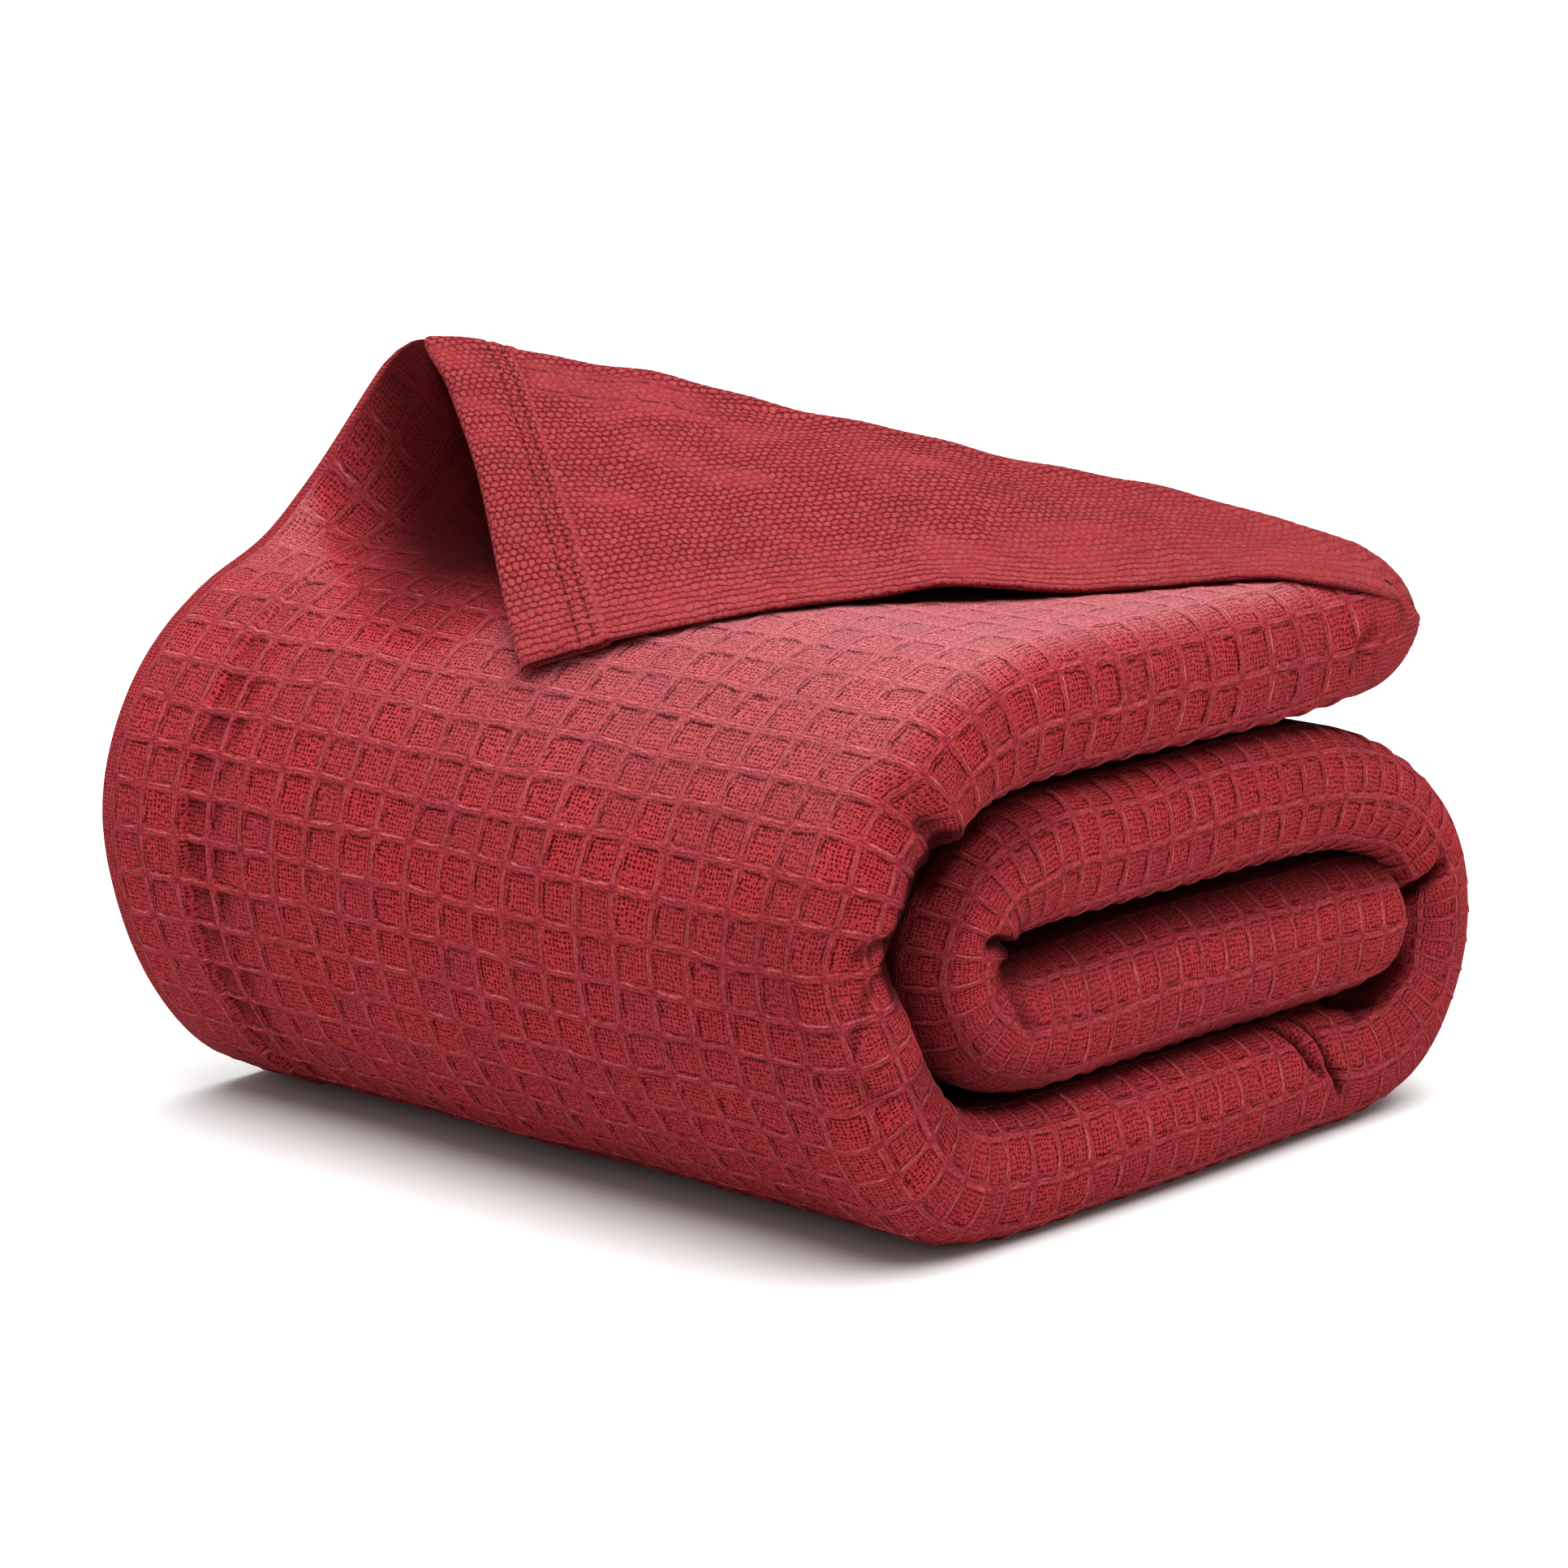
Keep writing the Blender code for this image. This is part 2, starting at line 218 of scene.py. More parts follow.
def mound(x, y):
    # how far the top of the roll is lifted under the crest
    crestY, crestZ = crestAt(x)
    high = np.maximum(crestZ - lifted["start"], 0) * ease((lifted["end"] - x) / lifted["fade"])
    front, back = slopeReach("front", high), slopeReach("back", high)
    hollow = 1.25 + grow(x, -120, 130)  # the front slope is hollow, most at the right
    rise = ease((y - (crestY - front)) / front) ** hollow
    fall = ease((crestY + back - y) / back)
    return np.maximum(high - lifted["below"], 0) * np.where(y < crestY, rise, fall)


def soft(x, s):
    # slow waves of a soft surface
    wave = np.sin(0.041 * x + 0.023 * s + 0.7) + 0.7 * np.sin(0.083 * x - 0.037 * s + 2.1)
    return 0.4 * (wave + 0.6 * np.sin(0.019 * x + 0.071 * s))


# arc length round a quarter of the big fold, for a middling thickness
foldTurn = np.linspace(0, np.pi / 2, 200)
foldX = roll["capReach"] * np.cos(foldTurn) ** roll["capPower"]
foldN = roll["capHalf"] * np.sin(foldTurn) ** roll["capPower"]
foldArc = runAlong(np.stack([foldX, foldN], 1))
foldShare = foldArc / foldArc[-1]


def capLength(half):
    return foldArc[-1] * (0.42 + 0.58 * half / roll["capHalf"])


def stripShape(s):
    nose = noseAt(s)
    outer, inner = at("outer", s) * nose, at("inner", s) * nose
    inset = 7 * (1 - nose)
    right = roll["rightEnd"] - inset + 0.8 * np.sin(0.034 * s) - 0.8
    left = roll["leftEnd"] + inset + 1.3 + 1.3 * np.sin(0.021 * s + 0.5)
    return nose, outer, inner, right, left


def placeOn(s, x, n, lift=None):
    # a point at x and at the distance n outwards from the strip's middle
    y, z, turn = at("y", s), at("z", s), at("turn", s)
    onTop = isOnTop(s, z)
    # the surface plays a little, more down the front, less on top, and not where it rests
    onFront = (n > 0) & (y < -110) & (z > 25) & (z < roll["topLevel"])
    play = 0.45 + 0.75 * onFront - 0.15 * (onTop & (y > -90))
    play = play * np.where((z < 20) & (n > 0), 0, 1)
    n = n + play * noseAt(s) * soft(x, s) * np.sign(n) * np.minimum(np.abs(n) / 8, 1)
    if lift is not None:
        n = n + np.where(onTop, mound(x, y), 0) * noseAt(s) * lift
    return np.stack([x, y + n * np.sin(turn), np.maximum(z - n * np.cos(turn), 0.05)], -1)


def sleeve(a, b):
    # the outermost layer: a counts pockets from the middle of the big fold, below 0 on the outer face
    s = alongAt(b)
    outer, inner, right, left = stripShape(s)[1:]
    mid, half = 0.5 * (outer - inner), 0.5 * (outer + inner)
    cap = capLength(half)
    reach = roll["capReach"]
    far = np.abs(a) / hemSide * (cap + right - reach - left - roll["edgeReach"])
    side = np.where(a < 0, 1, -1)
    t = np.interp(np.clip(far / cap, 0, 1), foldShare, foldTurn)
    onCap = far < cap
    c, d = np.maximum(np.cos(t), 0) ** roll["capPower"], np.sin(t) ** roll["capPower"]
    x = np.where(onCap, right - reach * (1 - c), right - reach - (far - cap))
    x = x - np.interp(s, *np.array(roll["pinch"]).T) * grow(np.abs(a), 4, -3.5)
    n = mid + side * half * np.where(onCap, d, 1)
    lift = np.where(onCap, 0.5 + 0.5 * side * d, np.where(a < 0, 1, 0))
    return placeOn(s, x, n, lift)


def ribNear(t):
    return np.abs(t - np.round(t))


def between(f, walls, slip):
    # 1 between two walls, 0 on the ribs
    top, foot, farFoot, farTop = walls
    return ease((f - top - slip) / (foot - top)) * ease((farTop + slip - f) / (farTop - farFoot))


def waffleRelief(a, b):
    # 0 on a rib, below 0 in a pocket, deepest under the upper rib
    cellA, cellB = np.floor(a) + 0.5, np.floor(b) + 0.5
    fa, fb = a % 1, b % 1
    slip = 0.03 * patches(cellA * 1.7, cellB * 1.7, 12)
    across, down = between(fa, waffle["across"], slip), between(fb, waffle["down"], -slip)
    foot, farFoot = waffle["down"][1:3]
    tilt = 1.2 - 0.6 * np.clip((fb - foot) / (farFoot - foot), 0, 1)
    vary = 1 + 0.4 * patches(cellA, cellB, 11)
    crown = 0.04 * (2 - ease(ribNear(a) / 0.13) - ease(ribNear(b) / 0.13))
    bow = fb - (waffle["floatAt"] + waffle["floatBow"] * np.sin(np.pi * fa))
    middle = np.clip(np.sin(np.pi * fa), 0, 1)
    cord = waffle["floatLift"] * np.exp(-(bow / 0.035) ** 2) * grow(middle, 0.45, 0.35)
    return crown - waffle["pocketDepth"] * vary * across * down * tilt + cord


def strayed(a, b):
    # ribs that wander a little from straight lines
    one = patches(a * 0.9 + 3.3, b * 0.55, 3) + 0.5 * patches(a * 0.2, b * 0.23, 4)
    two = patches(a * 0.55, b * 0.9 + 5.1, 5) + 0.5 * patches(a * 0.23, b * 0.2, 6)
    return waffle["wander"] * one, waffle["wander"] * two


# sample lines within one pocket, crowded at the ribs' walls, and fewer where less shows
close = (0, 0.07, 0.12, 0.165, 0.21, 0.33, 0.52, 0.70, 0.82, 0.865, 0.90, 0.94)
coarse = (0, 0.075, 0.14, 0.5, 0.86, 0.925)
plain = (0, 0.5)


def steps(start, end, share=close):
    # sample lines from start to end, in pockets
    lines = (np.arange(np.floor(start), np.ceil(end) + 1)[:, None] + np.asarray(share)).ravel()
    lines = lines[(lines > start + 0.02) & (lines < end - 0.02)]
    return np.concatenate([[start], lines, [end]])


def normalsOf(points):
    normal = np.cross(*np.gradient(points, axis=(1, 0)))
    return normal / np.maximum(np.linalg.norm(normal, axis=-1, keepdims=True), 1e-9)


def added(name, data):
    obj = bpy.data.objects.new(name, data)
    bpy.context.scene.collection.objects.link(obj)
    return obj


def sheetPiece(name, points, weave, material, shade=0, flip=False):
    # one piece of the cloth from a grid of points, with the weave's own coordinates on it
    rowsOf, cols = points.shape[:2]
    points[..., 2] = np.maximum(points[..., 2], 0.05)  # never through the floor
    flat = (points.reshape(-1, 3) + frameShift) * metre
    index = np.arange(rowsOf * cols).reshape(rowsOf, cols)
    quads = np.stack([index[:-1, :-1], index[:-1, 1:], index[1:, 1:], index[1:, :-1]], -1).reshape(-1, 4)
    if flip:
        quads = quads[:, ::-1]
    mesh = bpy.data.meshes.new(name)
    mesh.vertices.add(len(flat))
    mesh.vertices.foreach_set("co", flat.ravel())
    mesh.loops.add(quads.size)
    mesh.loops.foreach_set("vertex_index", quads.ravel().astype(np.int32))
    mesh.polygons.add(len(quads))
    mesh.polygons.foreach_set("loop_start", np.arange(0, quads.size, 4, dtype=np.int32))
    mesh.polygons.foreach_set("use_smooth", np.ones(len(quads), dtype=bool))
    mesh.update(calc_edges=True)
    # the shade attribute: painted shade above 0, painted sheen below 0
    paintedShading = np.broadcast_to(shade, points.shape[:2])
    for title, kind, key, values in (
        ("weave", "FLOAT_VECTOR", "vector", weave), ("shade", "FLOAT", "value", paintedShading),
    ):
        layer = mesh.attributes.new(title, kind, "POINT")
        layer.data.foreach_set(key, values.astype(np.float32).ravel())
    # a flat layout in real proportions
    run = np.linalg.norm(np.diff(points, axis=1), axis=-1).mean(0)
    fall = np.linalg.norm(np.diff(points, axis=0), axis=-1).mean(1)
    u, w = summed(run), summed(fall)
    side = max(u[-1], w[-1]) * 1.01
    layout = mesh.uv_layers.new(name="OFBake")
    grid = np.stack(np.broadcast_arrays(u[None, :] / side, w[:, None] / side), -1).reshape(-1, 2)
    layout.data.foreach_set("uv", grid[quads.ravel()].astype(np.float32).ravel())
    mesh.materials.append(material)
    obj = added(name, mesh)
    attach(obj, "root")
    print(name, "made:", len(quads), "faces")
    return obj


# the cotton's colours, with a painted highlight, a painted sheen and the near-black of gaps and
# painted shade among them, and how matt it is
yarn = dict(
    rib=(0.270, 0.0300, 0.0395), ribWarm=(0.292, 0.0310, 0.0340), ribDusk=(0.215, 0.0165, 0.0300),
    floor=(0.276, 0.0215, 0.0265), mesh=(0.092, 0.0009, 0.0024), gap=(0.024, 0.0002, 0.0005),
    paintedHighlight=(0.46, 0.1050, 0.1180), paintedSheen=(0.415, 0.1560, 0.1680),
    bead=(0.216, 0.0255, 0.0297), paintedBeadHighlight=(0.270, 0.0480, 0.0545), beadGap=(0.112, 0.0040, 0.0070),
    roughness=0.9, sheen=0.02, sheenTint=(1, 0.5, 0.52, 1), gloss=0.02,
)


class Nodes:
    # short hand for wiring a material
    def __init__(self, name):
        self.material = bpy.data.materials.new(name)
        self.material.use_nodes = True
        self.tree = self.material.node_tree
        self.shader = self.tree.nodes["Principled BSDF"]

    def feed(self, socket, value):
        if hasattr(value, "links"):
            self.tree.links.new(value, socket)
        else:
            socket.default_value = value

    def add(self, kind, inputs, out=0, **settings):
        node = self.tree.nodes.new("ShaderNode" + kind)
        for key, value in settings.items():
            setattr(node, key, value)
        for key, value in inputs.items():
            self.feed(node.inputs[key], value)
        return node.outputs[out]

    def attribute(self, name, out):
        return self.add("Attribute", {}, out, attribute_name=name)

    def split(self, vector):
        node = self.tree.nodes.new("ShaderNodeSeparateXYZ")
        self.feed(node.inputs[0], vector)
        return tuple(node.outputs)

    def math(self, operation, *values):
        return self.add("Math", dict(enumerate(values)), operation=operation)

    def times(self, value, *others):
        for other in others:
            value = self.math("MULTIPLY", value, other)
        return value

    def largest(self, value, *others):
        for other in others:
            value = self.math("MAXIMUM", value, other)
        return value

    def scaled(self, value, factor, plus):
        return self.math("MULTIPLY_ADD", value, factor, plus)

    def rest(self, value):
        return self.math("SUBTRACT", 1, value)

    def away(self, value, spot):
        # distance from a spot
        return self.math("ABSOLUTE", self.math("SUBTRACT", value, spot))

    def swing(self, value, turns):
        # a wave from 0 to 1
        return self.scaled(self.math("COSINE", self.times(value, turns)), 0.5, 0.5)

    def ramp(self, value, low, high, toLow=0, toHigh=1):
        inputs = {0: value, 1: low, 2: high, 3: toLow, 4: toHigh}
        return self.add("MapRange", inputs, interpolation_type="SMOOTHSTEP")

    def band(self, value, edges):
        # 1 between the two inner edges, 0 outside the two outer ones
        return self.times(self.ramp(value, edges[0], edges[1]), self.ramp(value, edges[3], edges[2]))

    def noise(self, vector, scale, detail=2, rough=0.5, out=0):
        inputs = {"Vector": vector, "Scale": scale, "Detail": detail, "Roughness": rough}
        return self.add("TexNoise", inputs, out)

    def strays(self, value, noise, reach):
        # the value moved to and fro by a noise
        return self.math("ADD", value, self.scaled(noise, 2 * reach, -reach))

    def own(self, one, two):
        # a random number for each cell
        cell = self.add("CombineXYZ", {0: self.math("FLOOR", one), 1: self.math("FLOOR", two)})
        return self.add("TexWhiteNoise", {"Vector": cell}, noise_dimensions="3D")

    def mix(self, share, one, two):
        return self.add("Mix", {0: share, 2: one, 3: two})

    def blend(self, share, one, two, kind="MIX"):
        node = self.tree.nodes.new("ShaderNodeMix")
        node.data_type, node.blend_type = "RGBA", kind
        self.feed(node.inputs[0], share)
        for slotNumber, value in ((6, one), (7, two)):
            self.feed(node.inputs[slotNumber], value if hasattr(value, "links") else (*value, 1))
        return node.outputs[2]

    def speckled(self, colour, speck):
        grey = self.add("CombineColor", {0: speck, 1: speck, 2: speck})
        return self.blend(1, colour, grey, "MULTIPLY")

    def finish(self, colour, height, distance):
        bump = self.add("Bump", {"Strength": 1, "Distance": distance, "Height": height})
        self.feed(self.shader.inputs["Base Color"], colour)
        self.feed(self.shader.inputs["Normal"], bump)
        for name, value in (
            ("Roughness", yarn["roughness"]), ("Sheen Weight", yarn["sheen"]), ("Sheen Roughness", 0.5),
            ("Sheen Tint", yarn["sheenTint"]), ("Specular IOR Level", yarn["gloss"]),
        ):
            self.shader.inputs[name].default_value = value
        return self.material


# one pocket's drawing, in shares of it: the pocket between its ribs, and the dark slits of painted
# shade where its floor turns up to them, across it (level) or down it
pocketLook = dict(
    across=(0.06, 0.15, 0.87, 0.96), down=(0.06, 0.15, 0.86, 0.95),
    threads=10, ribThreads=12,  # threads across one pocket
    slitEnds=(0.52, 0.42, 0.26),  # a slit's middle, and where its ends fade
    slits=(  # level or not, where, half as wide as, how dark, its seed
        (True, 0.13, 0.045, 0.9, 3),
        (True, 0.88, 0.03, 0.8, 9),
        (False, 0.085, 0.026, 0.7, 17),
        (False, 0.16, 0.036, 0.95, 29),
        (False, 0.915, 0.03, 0.85, 41),
    ),
)


def waffleCloth():
    w = Nodes("waffleCloth")
    place, paintedShading = w.attribute("weave", 1), w.attribute("shade", 2)
    # above 0 the shade attribute is painted shade, below 0 it is a painted sheen that lightens and softens
    # the weave
    shade, paintedSheen = w.largest(paintedShading, 0), w.largest(w.times(paintedShading, -1), 0)
    spotA, spotB, border = w.split(place)
    # threads stray a little, and the ribs' edges are ragged
    drift = w.split(w.noise(place, 1.9, out=1))
    a, b = w.strays(spotA, drift[0], 0.1), w.strays(spotB, drift[1], 0.1)
    ragged = w.split(w.noise(place, 5, 3, out=1))
    fa = w.math("FRACT", w.strays(spotA, ragged[0], 0.065))
    fb = w.math("FRACT", w.strays(spotB, ragged[1], 0.065))
    across, down = w.band(fa, pocketLook["across"]), w.band(fb, pocketLook["down"])
    pocket, crossing = w.times(across, down), w.times(w.rest(across), w.rest(down))
    own = w.own(spotA, spotB)
    # the open mesh of a pocket's floor, its holes grown under the upper rib as painted shade
    turns, ribTurns = 2 * np.pi * pocketLook["threads"], 2 * np.pi * pocketLook["ribThreads"]
    waveA = w.swing(a, turns)
    netting = w.times(waveA, w.swing(b, turns))
    fleck = w.ramp(w.noise(place, 9), 0.34, 0.62, 0.1, 1.25)
    hole = w.ramp(w.times(netting, fleck, w.ramp(fb, 0.95, 0.3, 0.55, 1)), 0.1, 0.5)
    # the ribs' own threads
    ribB = w.swing(b, ribTurns)
    upright = w.ramp(w.math("SUBTRACT", down, across), -0.3, 0.3)
    ribWave = w.largest(w.mix(upright, ribB, w.swing(a, ribTurns)), w.times(netting, 0.8))
    ribWave = w.times(ribWave, w.ramp(w.noise(place, 6), 0.35, 0.65, 0.4, 1))
    # colour: cloudy, warmer and cooler in turn, darker where the mesh opens
    cloudy = w.ramp(w.noise(place, 0.5, 3), 0.32, 0.68)
    dusk = w.times(crossing, w.ramp(w.noise(place, 1.1), 0.4, 0.6, 0.3, 1))
    base = w.blend(dusk, w.blend(cloudy, yarn["rib"], yarn["ribWarm"]), yarn["ribDusk"])
    base = w.blend(paintedSheen, base, yarn["paintedSheen"])
    lowTone = w.blend(w.times(paintedSheen, 0.85), yarn["floor"], yarn["paintedSheen"])
    inside = w.blend(w.scaled(own, 0.5, 0.5), base, lowTone)
    gaps = w.times(hole, w.scaled(own, 0.3, 0.72), w.scaled(paintedSheen, -0.8, 1))
    inside = w.blend(gaps, inside, yarn["mesh"])
    base = w.blend(w.times(ribWave, 0.55), base, w.blend(paintedSheen, yarn["mesh"], yarn["floor"]))
    colour = w.blend(pocket, base, inside)
    # dark slits of painted shade, broken here and there
    dark = 0
    middle, wide, narrow = pocketLook["slitEnds"]
    for level, spot, half, strength, seed in pocketLook["slits"]:
        run, along = (fb, fa) if level else (fa, fb)
        near = w.ramp(w.away(run, spot), half, 0)
        ends = w.ramp(w.away(along, middle), wide, narrow)
        moved = w.add("VectorMath", {0: place, 1: (seed, seed * 0.7, 0)}, operation="ADD")
        broken = w.ramp(w.noise(moved, 2.1), 0.38, 0.6, 0.1, strength)
        dark = w.largest(w.times(near, ends, broken), dark)
    dark = w.times(dark, w.rest(border), w.scaled(paintedSheen, -0.35, 1))
    colour = w.blend(dark, colour, yarn["gap"])
    # a painted highlight on the float along the lower edge, and lighter threads beside the pockets in the
    # same colour
    arch = w.math("SINE", w.times(fa, np.pi))
    bow = w.away(fb, w.scaled(arch, waffle["floatBow"], waffle["floatAt"]))
    paintedHighlight = w.times(w.ramp(bow, 0.034, 0), w.ramp(arch, 0.4, 0.7))
    beside = w.ramp(w.away(w.away(fa, 0.5), 0.475), 0.028, 0)
    paintedHighlight = w.largest(paintedHighlight, w.times(beside, 0.3, down))
    paintedHighlight = w.times(paintedHighlight, w.ramp(w.noise(place, 1.3, 1), 0.38, 0.6), w.rest(border))
    colour = w.blend(w.times(paintedHighlight, 0.75), colour, yarn["paintedHighlight"])
    # the plain border, woven closely
    borderWave = w.times(waveA, ribB)
    colour = w.blend(border, colour, w.blend(w.times(borderWave, 0.65), base, yarn["beadGap"]))
    fine = w.noise(place, 17, 3, 0.65)
    speck = w.times(w.ramp(fine, 0.32, 0.68, 0.58, 1.4), w.scaled(own, 0.14, 0.93))
    # painted shade from the shade attribute
    colour = w.blend(shade, w.speckled(colour, speck), yarn["gap"])
    # height
    height = w.mix(pocket, w.times(ribWave, -0.5), w.times(hole, -1))
    height = w.mix(border, w.scaled(dark, -0.6, height), w.times(borderWave, -0.9))
    return w.finish(colour, w.scaled(fine, 0.4, height), 0.0005)


# the underside's beads, the smooth strip and the dotted seams, in mm from the hem edge, and the
# pockets that show through along the crest
pebble = dict(
    wide=2.4, high=3.2, reliefDepth=0.25, strip=22.6, seams=(15.6, 19.6), dots=4.4,
    showFrom=(22, 27, 66, 84), showBelow=(4, 9, 27, 33), showWide=9.5, showHigh=13,
)


def pebbleCloth():
    # weave as the cloth's underside shows it: short floats in offset rows, x and y in mm
    w = Nodes("pebbleCloth")
    place, shade = w.attribute("weave", 1), w.attribute("shade", 2)
    along, up, below = w.split(place)  # from the hem, from the free edge and from the crest
    drift = w.split(w.noise(place, 0.11, 3, out=1))
    p, q = w.strays(along, drift[0], 1.7), w.strays(up, drift[1], 2.2)
    row = w.math("DIVIDE", q, pebble["high"])
    odd = w.math("MODULO", w.math("FLOOR", row), 2)
    column = w.scaled(odd, 0.5, w.math("DIVIDE", p, pebble["wide"]))
    fx, fy = [w.math("ABSOLUTE", w.scaled(w.math("FRACT", run), 2, -1)) for run in (column, row)]
    # beads that run together into thin ribs near the free edge
    apart = w.times(w.math("POWER", fx, 2), w.ramp(up, 4, 36, 0.5, 1))
    dome = w.ramp(w.math("ADD", apart, w.math("POWER", fy, 2.2)), 1.35, 0.15)
    own = w.own(column, row)
    # finer and fuzzier in places and towards the right
    fuzzy = w.ramp(w.noise(place, 0.03), 0.5, 0.7, 0, 0.45)
    fuzzy = w.largest(fuzzy, w.ramp(along, 120, 235, 0, 0.5))
    dome = w.scaled(w.math("SUBTRACT", 0.7, dome), fuzzy, dome)
    # the smooth strip and the dotted seams beside the hem
    strip = w.ramp(w.away(along, pebble["strip"]), 1.2, 0.5)
    seams = w.largest(*[w.ramp(w.away(along, spot), 0.55, 0.2) for spot in pebble["seams"]])
    dotted = w.ramp(w.math("SINE", w.times(q, 2 * np.pi / pebble["dots"])), -0.5, 0.3, 0.15, 1)
    stitch = w.times(seams, dotted)
    # pockets that show through along the crest, with a dark line over each and beside it
    showing = w.times(w.band(below, pebble["showBelow"]), w.band(p, pebble["showFrom"]))
    cellX = w.math("FRACT", w.math("DIVIDE", w.scaled(below, -0.2, along), pebble["showWide"]))
    cellY = w.math("FRACT", w.math("DIVIDE", w.scaled(along, 0.1, below), pebble["showHigh"]))
    over = w.times(w.ramp(w.away(cellY, 0.3), 0.07, 0), w.ramp(cellX, 0.2, 0.3))
    beside = w.times(w.ramp(w.away(cellX, 0.25), 0.07, 0), w.ramp(cellY, 0.45, 0.3))
    lines = w.times(showing, w.largest(over, w.times(beside, 0.7)))
    lines = w.times(lines, w.ramp(w.noise(place, 0.07), 0.3, 0.5, 0, 0.7))
    dome = w.largest(dome, w.times(strip, 0.42), w.times(showing, 0.45))
    # colour, with a painted highlight on the beads' tops, and height
    cloudy = w.ramp(w.noise(place, 0.04, 3), 0.32, 0.68)
    base = w.blend(w.times(cloudy, 0.5), yarn["bead"], yarn["ribWarm"])
    base = w.blend(w.times(w.ramp(dome, 0.5, 1, 0, 0.75), own), base, yarn["paintedBeadHighlight"])
    colour = w.blend(w.ramp(dome, 0, 0.55), yarn["beadGap"], base)
    fine = w.noise(place, 1.3, 3, 0.65)
    colour = w.speckled(colour, w.ramp(fine, 0.32, 0.68, 0.68, 1.3))
    dark = w.largest(w.times(stitch, 0.6), w.times(lines, 0.85))
    colour = w.blend(dark, colour, yarn["gap"])
    # painted shade from the shade attribute, and darker towards the right
    dimmed = w.largest(shade, w.ramp(along, 110, 210, 0, 0.18))
    colour = w.blend(dimmed, colour, yarn["gap"])
    return w.finish(colour, w.scaled(fine, 0.3, w.scaled(dark, -1, dome)), 0.0007)


waffleFinish = waffleCloth()
pebbleFinish = pebbleCloth()
print("finishes made")


# creases pressed in: path in pockets across and mm along the strip, then how wide, how deep
# and how high its lip in mm, and how dark the painted shade in it is
creases = (
    (((1.3, 217), (0.5, 218), (-0.4, 220)), 2.6, 1.6, 0.9, 0.6),
    (((0.9, 250), (0.2, 252), (-0.3, 254.5), (-0.5, 258)), 2.4, 1.2, 0.8, 0.6),
    (((0.9, 256), (-0.1, 263), (-0.75, 271), (-1, 279)), 2, 0.8, 0.5, 0.4),
    (((-1.3, 280), (-0.8, 286), (-0.2, 290)), 3.5, 1.6, 0.6, 0.25),
    (((1.9, 569), (1.1, 576), (-0.1, 581)), 3, 4, 0.8, 1),
    (((1.9, 469), (1.2, 472), (0.6, 476), (0.05, 483)), 1.9, 3, 0.8, 1),
    (((1.9, 480), (1.2, 481), (0.4, 484), (-0.1, 488), (-0.7, 494)), 1.9, 3.2, 0.8, 1),
    (((1.9, 500), (1.7, 510), (1.4, 522)), 3, 3.6, 0.6, 0.95),
    (((1.9, 787), (1, 789), (0.36, 791), (-0.25, 794.5)), 2.4, 3.8, 0.9, 1),
    (((1.4, 803), (0.7, 812), (0.2, 822), (-0.1, 830)), 2.6, 1.6, 0.9, 0.45),
    (((-0.35, 27), (0, 36), (0.7, 39)), 2.4, 1.2, 0.6, 0.4),
)


def creased(a, s):
    # how far the cloth is pressed in, and how dark the painted shade in the crease is
    push, dark = np.zeros(a.shape), np.zeros(a.shape)
    spot = np.stack([a * waffle["pocketWide"], s], -1)
    for path, wide, deep, lip, dim in creases:
        path = np.array(path, float) * (waffle["pocketWide"], 1)
        best, along = np.full(a.shape, 1e6), np.zeros(a.shape)
        run = runAlong(path)
        for k in range(len(path) - 1):
            step = path[k + 1] - path[k]
            t = np.clip(((spot - path[k]) @ step) / (step @ step), 0, 1)
            far = np.linalg.norm(spot - path[k] - t[..., None] * step, axis=-1)
            closer = far < best
            best = np.where(closer, far, best)
            along = np.where(closer, (run[k] + t * (run[k + 1] - run[k])) / run[-1], along)
        fade = ease(along / 0.2 + 0.3) * grow(along, 1, -0.25)
        push += fade * deep * np.exp(-(best / wide) ** 2)
        push -= fade * lip * np.exp(-((best - 2 * wide) / wide) ** 2)
        dark = np.maximum(dark, fade * dim * np.exp(-(best / (0.85 * wide)) ** 4))
    return push, dark


# painted shade where one turn closes on the next: how dark, where that starts and where it
# ends along the strip in mm, and where it starts across in pockets, each with what it fades over
past = length + 50
shadows = (
    (0.97, (206, 10), (276, -14), (0.45, 0.2)),  # front fold's corner
    (0.32, (280, 12), (330, -20), (-0.3, 0.8)),
    (0.95, (495, 10), (560, -20), (0.9, 0.5)),
    (0.97, (745, 25), (855, -25), (-1.95, -0.2)),  # the inner bend
    (0.5, (745, 25), (855, -25), (-0.3, -0.9)),
    (0.93, (768, 8), (794, -7), (-1.35, -0.4)),
    (0.8, (772, 14), (830, -18), (0.5, 0.6)),  # the innermost turn
    (0.97, (789, 3), (814, -12), (0.15, 0.5)),
    (0.72, (800, 25), (past, -20), (0.5, 1.1)),
    (0.6, (850, 20), (past, -20), (-0.9, -0.7)),
)


def shadowed(a, s):
    inside = np.where(a > 0, 1, grow(s, 575, 25))
    dark = 0.7 * inside * grow(np.abs(a), 1.55, 0.45)
    for dim, start, end, across in shadows:
        dark = np.maximum(dark, dim * grow(s, *start) * grow(s, *end) * grow(a, *across))
    return dark


# the turned corner's hem, from the crest's left end to the corner's point
hemLine = dict(way=(0.823, -0.569), length=165)


def beforeCrest(x, y):
    # 1 as far as a little behind the crest, 0 further back
    return ease((crestAt(x)[0] + 18 - y) / 12)


